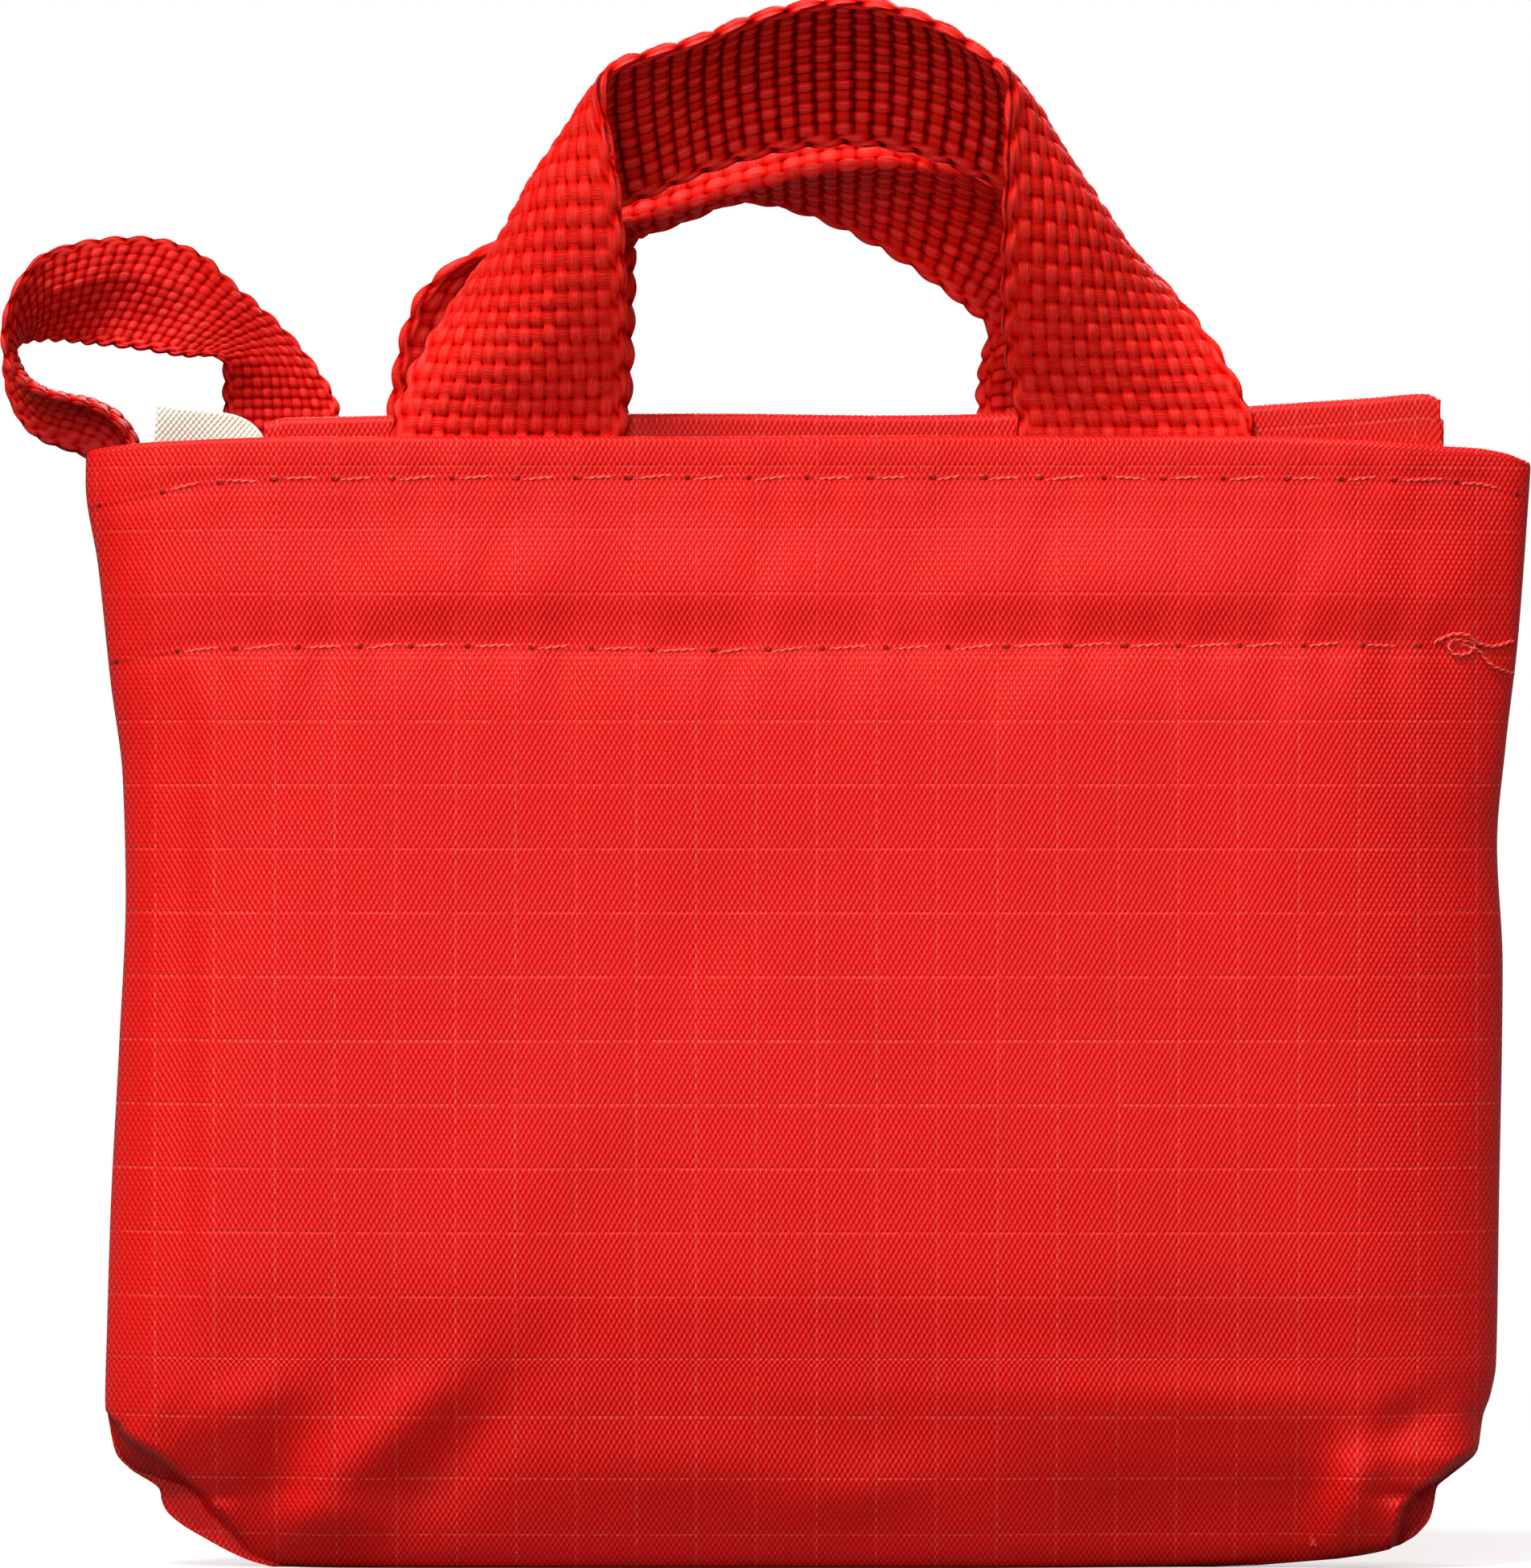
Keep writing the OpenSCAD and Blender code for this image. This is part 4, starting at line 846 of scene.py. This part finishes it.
LOOP = [
    ((-50.24, 6.2, 107.6), (-62.72, 5.25, 107.6)), ((-50.24, 6.2, 112.4), (-62.72, 5.25, 112.4)), ((-50.24, 6.2, 117.4), (-62.72, 5.25, 117.4)),
    ((-50.24, 6.2, 122.1), (-62.72, 5.25, 122.1)), ((-50.8, 7.7, 125.2), (-62.9, 4.7, 125.4)), ((-53.2, 10.0, 129.0), (-62.9, 2.2, 129.0)), ((-56.0, 10.1, 132.4), (-64.3, 1.2, 129.8)),
    ((-59.0, 8.8, 135.3), (-66.5, 1.0, 129.7)), ((-62.0, 7.2, 137.9), (-68.8, 1.2, 130.0)), ((-64.2, 6.2, 140.2), (-70.8, 1.9, 130.4)), ((-66.9, 5.0, 141.8), (-73.2, 2.6, 130.7)),
    ((-70.0, 4.2, 142.6), (-75.6, 3.3, 131.0)), ((-73.3, 3.0, 142.7), (-77.6, 4.5, 131.2)), ((-76.5, 1.8, 142.4), (-79.5, 5.5, 131.5)), ((-79.6, 0.4, 141.7), (-81.5, 6.6, 131.7)),
    ((-82.4, -1.0, 140.5), (-83.3, 7.4, 131.7)), ((-84.6, -2.6, 137.8), (-84.8, 7.8, 131.5)), ((-85.9, -3.6, 134.5), (-85.7, 8.2, 130.9)), ((-86.2, -4.0, 131.3), (-86.6, 8.2, 129.8)),
    ((-85.5, -4.2, 128.7), (-86.6, 7.8, 127.6)), ((-84.1, -4.2, 126.8), (-85.9, 7.2, 124.8)), ((-81.8, -4.1, 125.6), (-84.4, 6.6, 122.3)), ((-79.1, -3.8, 124.9), (-82.3, 5.8, 120.7)),
    ((-76.5, -3.0, 124.1), (-79.6, 4.4, 119.7)), ((-74.4, -2.2, 122.7), (-77.3, 3.0, 118.8)), ((-72.9, -1.4, 120.6), (-76.0, 1.8, 117.2)), ((-72.0, -0.9, 117.2), (-75.6, 1.2, 114.0)), ((-72.0, -0.6, 112.8), (-75.4, 0.9, 110.2)),
]


def back_crease(S, s, v):
    """The far handle is bent lengthwise: its outer fifth rolls up and back from a ridge."""
    k = smooth(7.5, 10.5, s) * (1 - smooth(15.5, 19.5, s))
    top = 0.79
    base = S.copy()
    P = S[:, 0]
    Cc = S[:, -1]
    vv = v[None, :]
    kk = k[:, None]
    split = 1 - (1 - top) * kk
    a = np.clip(vv / split, 0, 1)
    b = np.clip((vv - split) / np.maximum(1 - split, 1e-3), 0, 1) * (kk > 1e-3)
    U = k[:, None] * np.array([0, 3.0, 4.4])[None, :]
    bow = 4 * a * (1 - a) * 1.5 * kk
    X = P[:, None] + (Cc - P)[:, None] * a[:, :, None] + U[:, None] * b[:, :, None]
    X[:, :, 2] += bow
    res = X * kk[:, :, None] + base * (1 - kk[:, :, None])
    for _ in range(3):
        res[:, 1:-1] = (res[:, :-2] + 2 * res[:, 1:-1] + res[:, 2:]) / 4
    return res


def loop_crease(S, s, v):
    """Lengthwise crease in the loop's upper run."""
    k = smooth(7.5, 9.5, s) * (1 - smooth(14.0, 16.5, s))
    w = np.maximum(0, 1 - np.abs(v - 0.36) / 0.36)
    S = S.copy()
    S[:, :, 1] += -1.3 * k[:, None] * w[None, :] ** 1.0
    return S


web = strap("front_handle_webbing", FRONT, 25.0, 0.70, 17, 1.95, -1, None, 0.30, 6, 5)
web.data.materials.append(M_WEB)
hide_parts("front_handle", "front_handle_sewn_ends")
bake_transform(web)
web = strap("back_handle_webbing", BACK, 25.2, 0.70, 17, 1.95, 1, back_crease, 0.30, 6, 5, 0.05, 0.6, 0.74)
web.data.materials.append(M_WEB)
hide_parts("back_handle", "back_handle_sewn_ends")
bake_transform(web)
web = strap("hanging_loop_webbing", LOOP, 12.6, 0.42, 12, 1.15, -1, loop_crease, 0.17, 6, 6, 0.15, 0.4)
web.data.materials.append(M_LOOP)
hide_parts("hanging_loop", "loop_sewn_ends")
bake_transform(web)

# ---------------------------------------------------------------- care label
n, m = 60, 48
t = np.linspace(0, 1, n)[:, None]
x01 = np.linspace(0, 1, m)[None, :]
xx = -70.2 + 12.1 * x01 + 0 * t
topz = table([(-70.5, 124.3), (-70.0, 124.4), (-66, 124.0), (-62, 123.5), (-60.2, 122.9), (-58.9, 121.9), (-58.1, 120.8)], xx)
zz = 101.5 + (topz - 101.5) * t
xx = xx + 0.6 * smooth(118, 124, zz) * (1 - x01) ** 2
yy = -3.4 - 0.9 * smooth(119, 124, zz) * np.cos(x01 * 2.2) + 0.25 * np.sin(xx * 0.8 + zz * 0.3)
S = np.stack([xx, yy, zz], -1)
N = normals(S)
ob = closed_sheet("care_label_cloth", S - N * 0.22, S + N * 0.22, np.stack([xx, zz], -1))
ob.data.materials.append(M_LABEL)
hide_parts("care_label", "label_sewn_end")
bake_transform(ob)

# ---------------------------------------------------------------- packed tote


def folded(name, path, x0, x1, node, seed, wob=0.25, topfn=None, thick=0.3, amp=1.0):
    """A sheet whose cross-section follows path (y, z) and which runs along x, with soft ripples and slightly wavy
    ends.
    """
    p = np.array(path, float)
    s_ = np.concatenate([[0], np.cumsum(np.linalg.norm(np.diff(p, axis=0), axis=1))])
    nx = 150
    e = np.linspace(-1, 1, nx)
    e = np.sign(e) * (1 - (1 - np.abs(e)) ** 1.3)
    xs = (x0 + x1) / 2 + (x1 - x0) / 2 * e
    Y = np.repeat(p[:, 0][:, None], nx, 1)
    Z = np.repeat(p[:, 1][:, None], nx, 1)
    X = np.repeat(xs[None, :], len(p), 0)
    if topfn is not None:
        Z = Z + topfn(X) * smooth(100, 121, Z)
    w = waves(X, Z, seed, 7, 9, 34)
    Y = Y + wob * w
    Z = Z + 0.25 * waves(X, Z * 0.2, seed + 1, 5, 14, 40)
    X = X + 0.35 * np.sin(Z * 0.35 + seed) * np.abs(e)[None, :] ** 6
    S = np.stack([X, Y, Z], -1)
    N = normals(S)
    uv = np.stack([X, np.repeat(s_[:, None], nx, 1) + 3.1], -1)
    ob = closed_sheet(name, S - N * thick / 2, S + N * thick / 2, uv)
    ob.data.materials.append(M_TOTE)
    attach(ob, "tote")
    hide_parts(node)
    return ob


def arc(cy, cz, r, a0, a1, k=9):
    return [(cy + r * math.cos(math.radians(a)), cz + r * math.sin(math.radians(a))) for a in np.linspace(a0, a1, k)]


def line(y, z0, z1, k=26):
    return [(y, z) for z in np.linspace(z0, z1, k)]


def zig(sg):
    ys = [1.3 * sg, 2.1 * sg, 2.9 * sg, 3.6 * sg]
    r = 0.4
    path = line(ys[0], 115.0, 16.0)
    path += arc((ys[0] + ys[1]) / 2, 15.6, r, 180 if sg > 0 else 0, 360 if sg > 0 else -180)
    path += line(ys[1], 16.0, 115.2)
    path += arc((ys[1] + ys[2]) / 2, 115.6, r, 180 if sg > 0 else 0, 0 if sg > 0 else 180)
    path += line(ys[2], 115.2, 16.0)
    path += arc((ys[2] + ys[3]) / 2, 15.6, r, 180 if sg > 0 else 0, 360 if sg > 0 else -180)
    path += line(ys[3], 16.0, 120.6, 34)
    return path


rise = lambda X: table([(-60, -0.9), (-57.6, -0.5), (-55.5, 0.0), (-20, 0.35), (20, 0.35), (36, 0.5), (47, 1.25), (60, 2.0), (66.4, 2.5), (67.6, 2.0), (69, 1.4)], X)
rise2 = lambda X: table([(-60, -0.6), (-56, -0.2), (0, -0.4), (40, 0.0), (60, 0.4), (66, 0.7), (69, 0.2)], X)
folded("tote_front_folds", zig(-1), -57.6, 67.0, "tote_front_panel", 31, 0.06)
folded("tote_back_folds", zig(1), -57.6, 67.0, "tote_back_panel", 37, 0.06)
folded("tote_base_folds", line(-0.55, 112, 17) + arc(0, 16.6, 0.55, 180, 360) + line(0.55, 17, 112), -55.8, 65.2, "tote_base_panel", 41, 0.04)
folded("tote_front_hem_fold", line(-4.62, 101, 122.2, 30) + arc(-3.85, 122.2, 0.77, 180, 0, 11) + line(-3.08, 122.2, 116.5, 10), -57.9, 67.9, "tote_front_hem", 43, 0.05, rise)
folded("tote_back_hem_fold", line(2.2, 117, 121.5, 10) + arc(3.3, 121.5, 1.1, 180, 0, 11) + line(4.4, 121.5, 101, 30), -56.6, 67.9, "tote_back_hem", 47, 0.06, rise2)


def box_lines(T, y, sg):
    paths = []
    for e in ((T[0][0][0], T[0][1][0]), (T[-1][0][0], T[-1][1][0])):
        a, b = min(e) + 2.5, max(e) - 2.5
        z0, z1 = 99.2, 114.7
        pts = [((a, z0), (b, z0)), ((b, z0), (b, z1)), ((b, z1), (a, z1)), ((a, z1), (a, z0)), ((a, z0), (b, z1)), ((b, z0), (a, z1))]
        for p, q in pts:
            L = math.hypot(q[0] - p[0], q[1] - p[1])
            k = max(2, int(L / 2.9))
            for i in range(k):
                f = np.linspace((i + 0.06) / k, (i + 0.94) / k, 7)
                g = np.linspace(0, 1, 7)
                paths.append(np.stack([p[0] + (q[0] - p[0]) * f, y + sg * (0.26 * np.sin(math.pi * g) - 0.02), p[1] + (q[1] - p[1]) * f], 1))
    return paths


for nm, T, y, sg, node in (("front_box_thread", FRONT, -HY - 0.62, -1, "front_handle_box_stitches"), ("back_box_thread", BACK, HY + 0.62, 1, "back_handle_box_stitches")):
    ob = tube(nm, box_lines(T, y, sg), 0.2, 6)
    ob.data.materials.append(M_THREAD)
    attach(ob, "tote")
    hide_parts(node)

# ---------------------------------------------------------------- stage, light, camera


def backdrop():
    k = Nodes("studio paper")
    n = k.noise(k.obj(), 40.0, 3.0)
    seen = k.t.nodes.new("ShaderNodeLightPath").outputs["Is Camera Ray"]
    pale = k.mix(k.m("MULTIPLY", n, 0.12), srgb("#fbfaf8"), srgb("#f1efec"))
    k.surface(k.mix(seen, srgb("#646260"), pale), 0.85, 0.1)
    far = k.t.nodes.new("ShaderNodeVectorMath")
    far.operation = "LENGTH"
    k.t.links.new(k.obj(), far.inputs[0])
    glow = k.t.nodes.new("ShaderNodeEmission")
    both = k.t.nodes.new("ShaderNodeMixShader")
    white = k.m("ADD", 0.5, k.m("MULTIPLY", k.ramp(far.outputs["Value"], 0.08, 0.30), 0.5))
    k.put(both.inputs[0], k.m("MULTIPLY", seen, white))
    k.t.links.new(k.bsdf.outputs[0], both.inputs[1])
    k.t.links.new(glow.outputs[0], both.inputs[2])
    k.t.links.new(both.outputs[0], k.out.inputs[0])
    a = np.linspace(0, TAU, 65)[:-1]
    rr = np.linspace(0.02, 0.75, 14)
    ring = np.array([[(r_ * 1000 * math.cos(t_), r_ * 1000 * math.sin(t_), 0.0) for t_ in a] for r_ in rr])
    i, j = np.meshgrid(np.arange(13), np.arange(64), indexing="ij")
    i, j = i.ravel(), j.ravel()
    j2 = (j + 1) % 64
    quads = np.stack([i * 64 + j, (i + 1) * 64 + j, (i + 1) * 64 + j2, i * 64 + j2], 1)
    jj = np.arange(0, 64, 2)
    cap = np.stack([np.full(32, 14 * 64), jj, jj + 1, (jj + 2) % 64], 1)
    ob = build("studio_floor", np.concatenate([ring.reshape(-1, 3), [[0, 0, 0]]]), np.concatenate([quads, cap]))
    ob.data.materials.append(k.mat)


backdrop()


def lamp(name, loc, aim, size, power, col=(1, 1, 1)):
    d = bpy.data.lights.new(name, "AREA")
    d.shape = "RECTANGLE"
    d.size, d.size_y = size
    d.energy = power
    d.color = col
    o = bpy.data.objects.new(name, d)
    o.location = loc
    o.rotation_mode = "QUATERNION"
    o.rotation_quaternion = (Vector(aim) - Vector(loc)).to_track_quat("-Z", "Y")
    bpy.context.scene.collection.objects.link(o)


lamp("key", (-0.80, -1.25, 2.3), (0, 0, 0.08), (0.9, 0.7), 80.0)
lamp("fill", (-0.2, -1.6, 0.55), (0, 0, 0.08), (1.0, 0.6), 13.5)
lamp("top", (0.1, 0.15, 1.2), (0, 0, 0.1), (0.8, 0.4), 4.0)
lamp("rear", (0.35, 1.6, 0.9), (0, 0, 0.08), (0.9, 0.7), 20.0)
world = bpy.data.worlds.new("studio")
world.use_nodes = True
wn = world.node_tree
bg = wn.nodes["Background"]
bg.inputs[0].default_value = (1, 1, 1, 1)
lp = wn.nodes.new("ShaderNodeLightPath")
mr = wn.nodes.new("ShaderNodeMapRange")
mr.inputs[3].default_value, mr.inputs[4].default_value = 0.20, 1.0
wn.links.new(lp.outputs["Is Camera Ray"], mr.inputs[0])
wn.links.new(mr.outputs[0], bg.inputs[1])
bpy.context.scene.world = world
bpy.context.scene.view_settings.view_transform = "Standard"

cam = bpy.data.cameras.new("camera")
cam.lens = 36.0 * 1500 / 168.1
cam.sensor_width = 36.0
cam.clip_start, cam.clip_end = 0.05, 20.0
co = bpy.data.objects.new("camera", cam)
co.location = (-0.00457, -1.5, 0.0839)
co.rotation_euler = (math.radians(90), 0, 0)
bpy.context.scene.collection.objects.link(co)
bpy.context.scene.camera = co
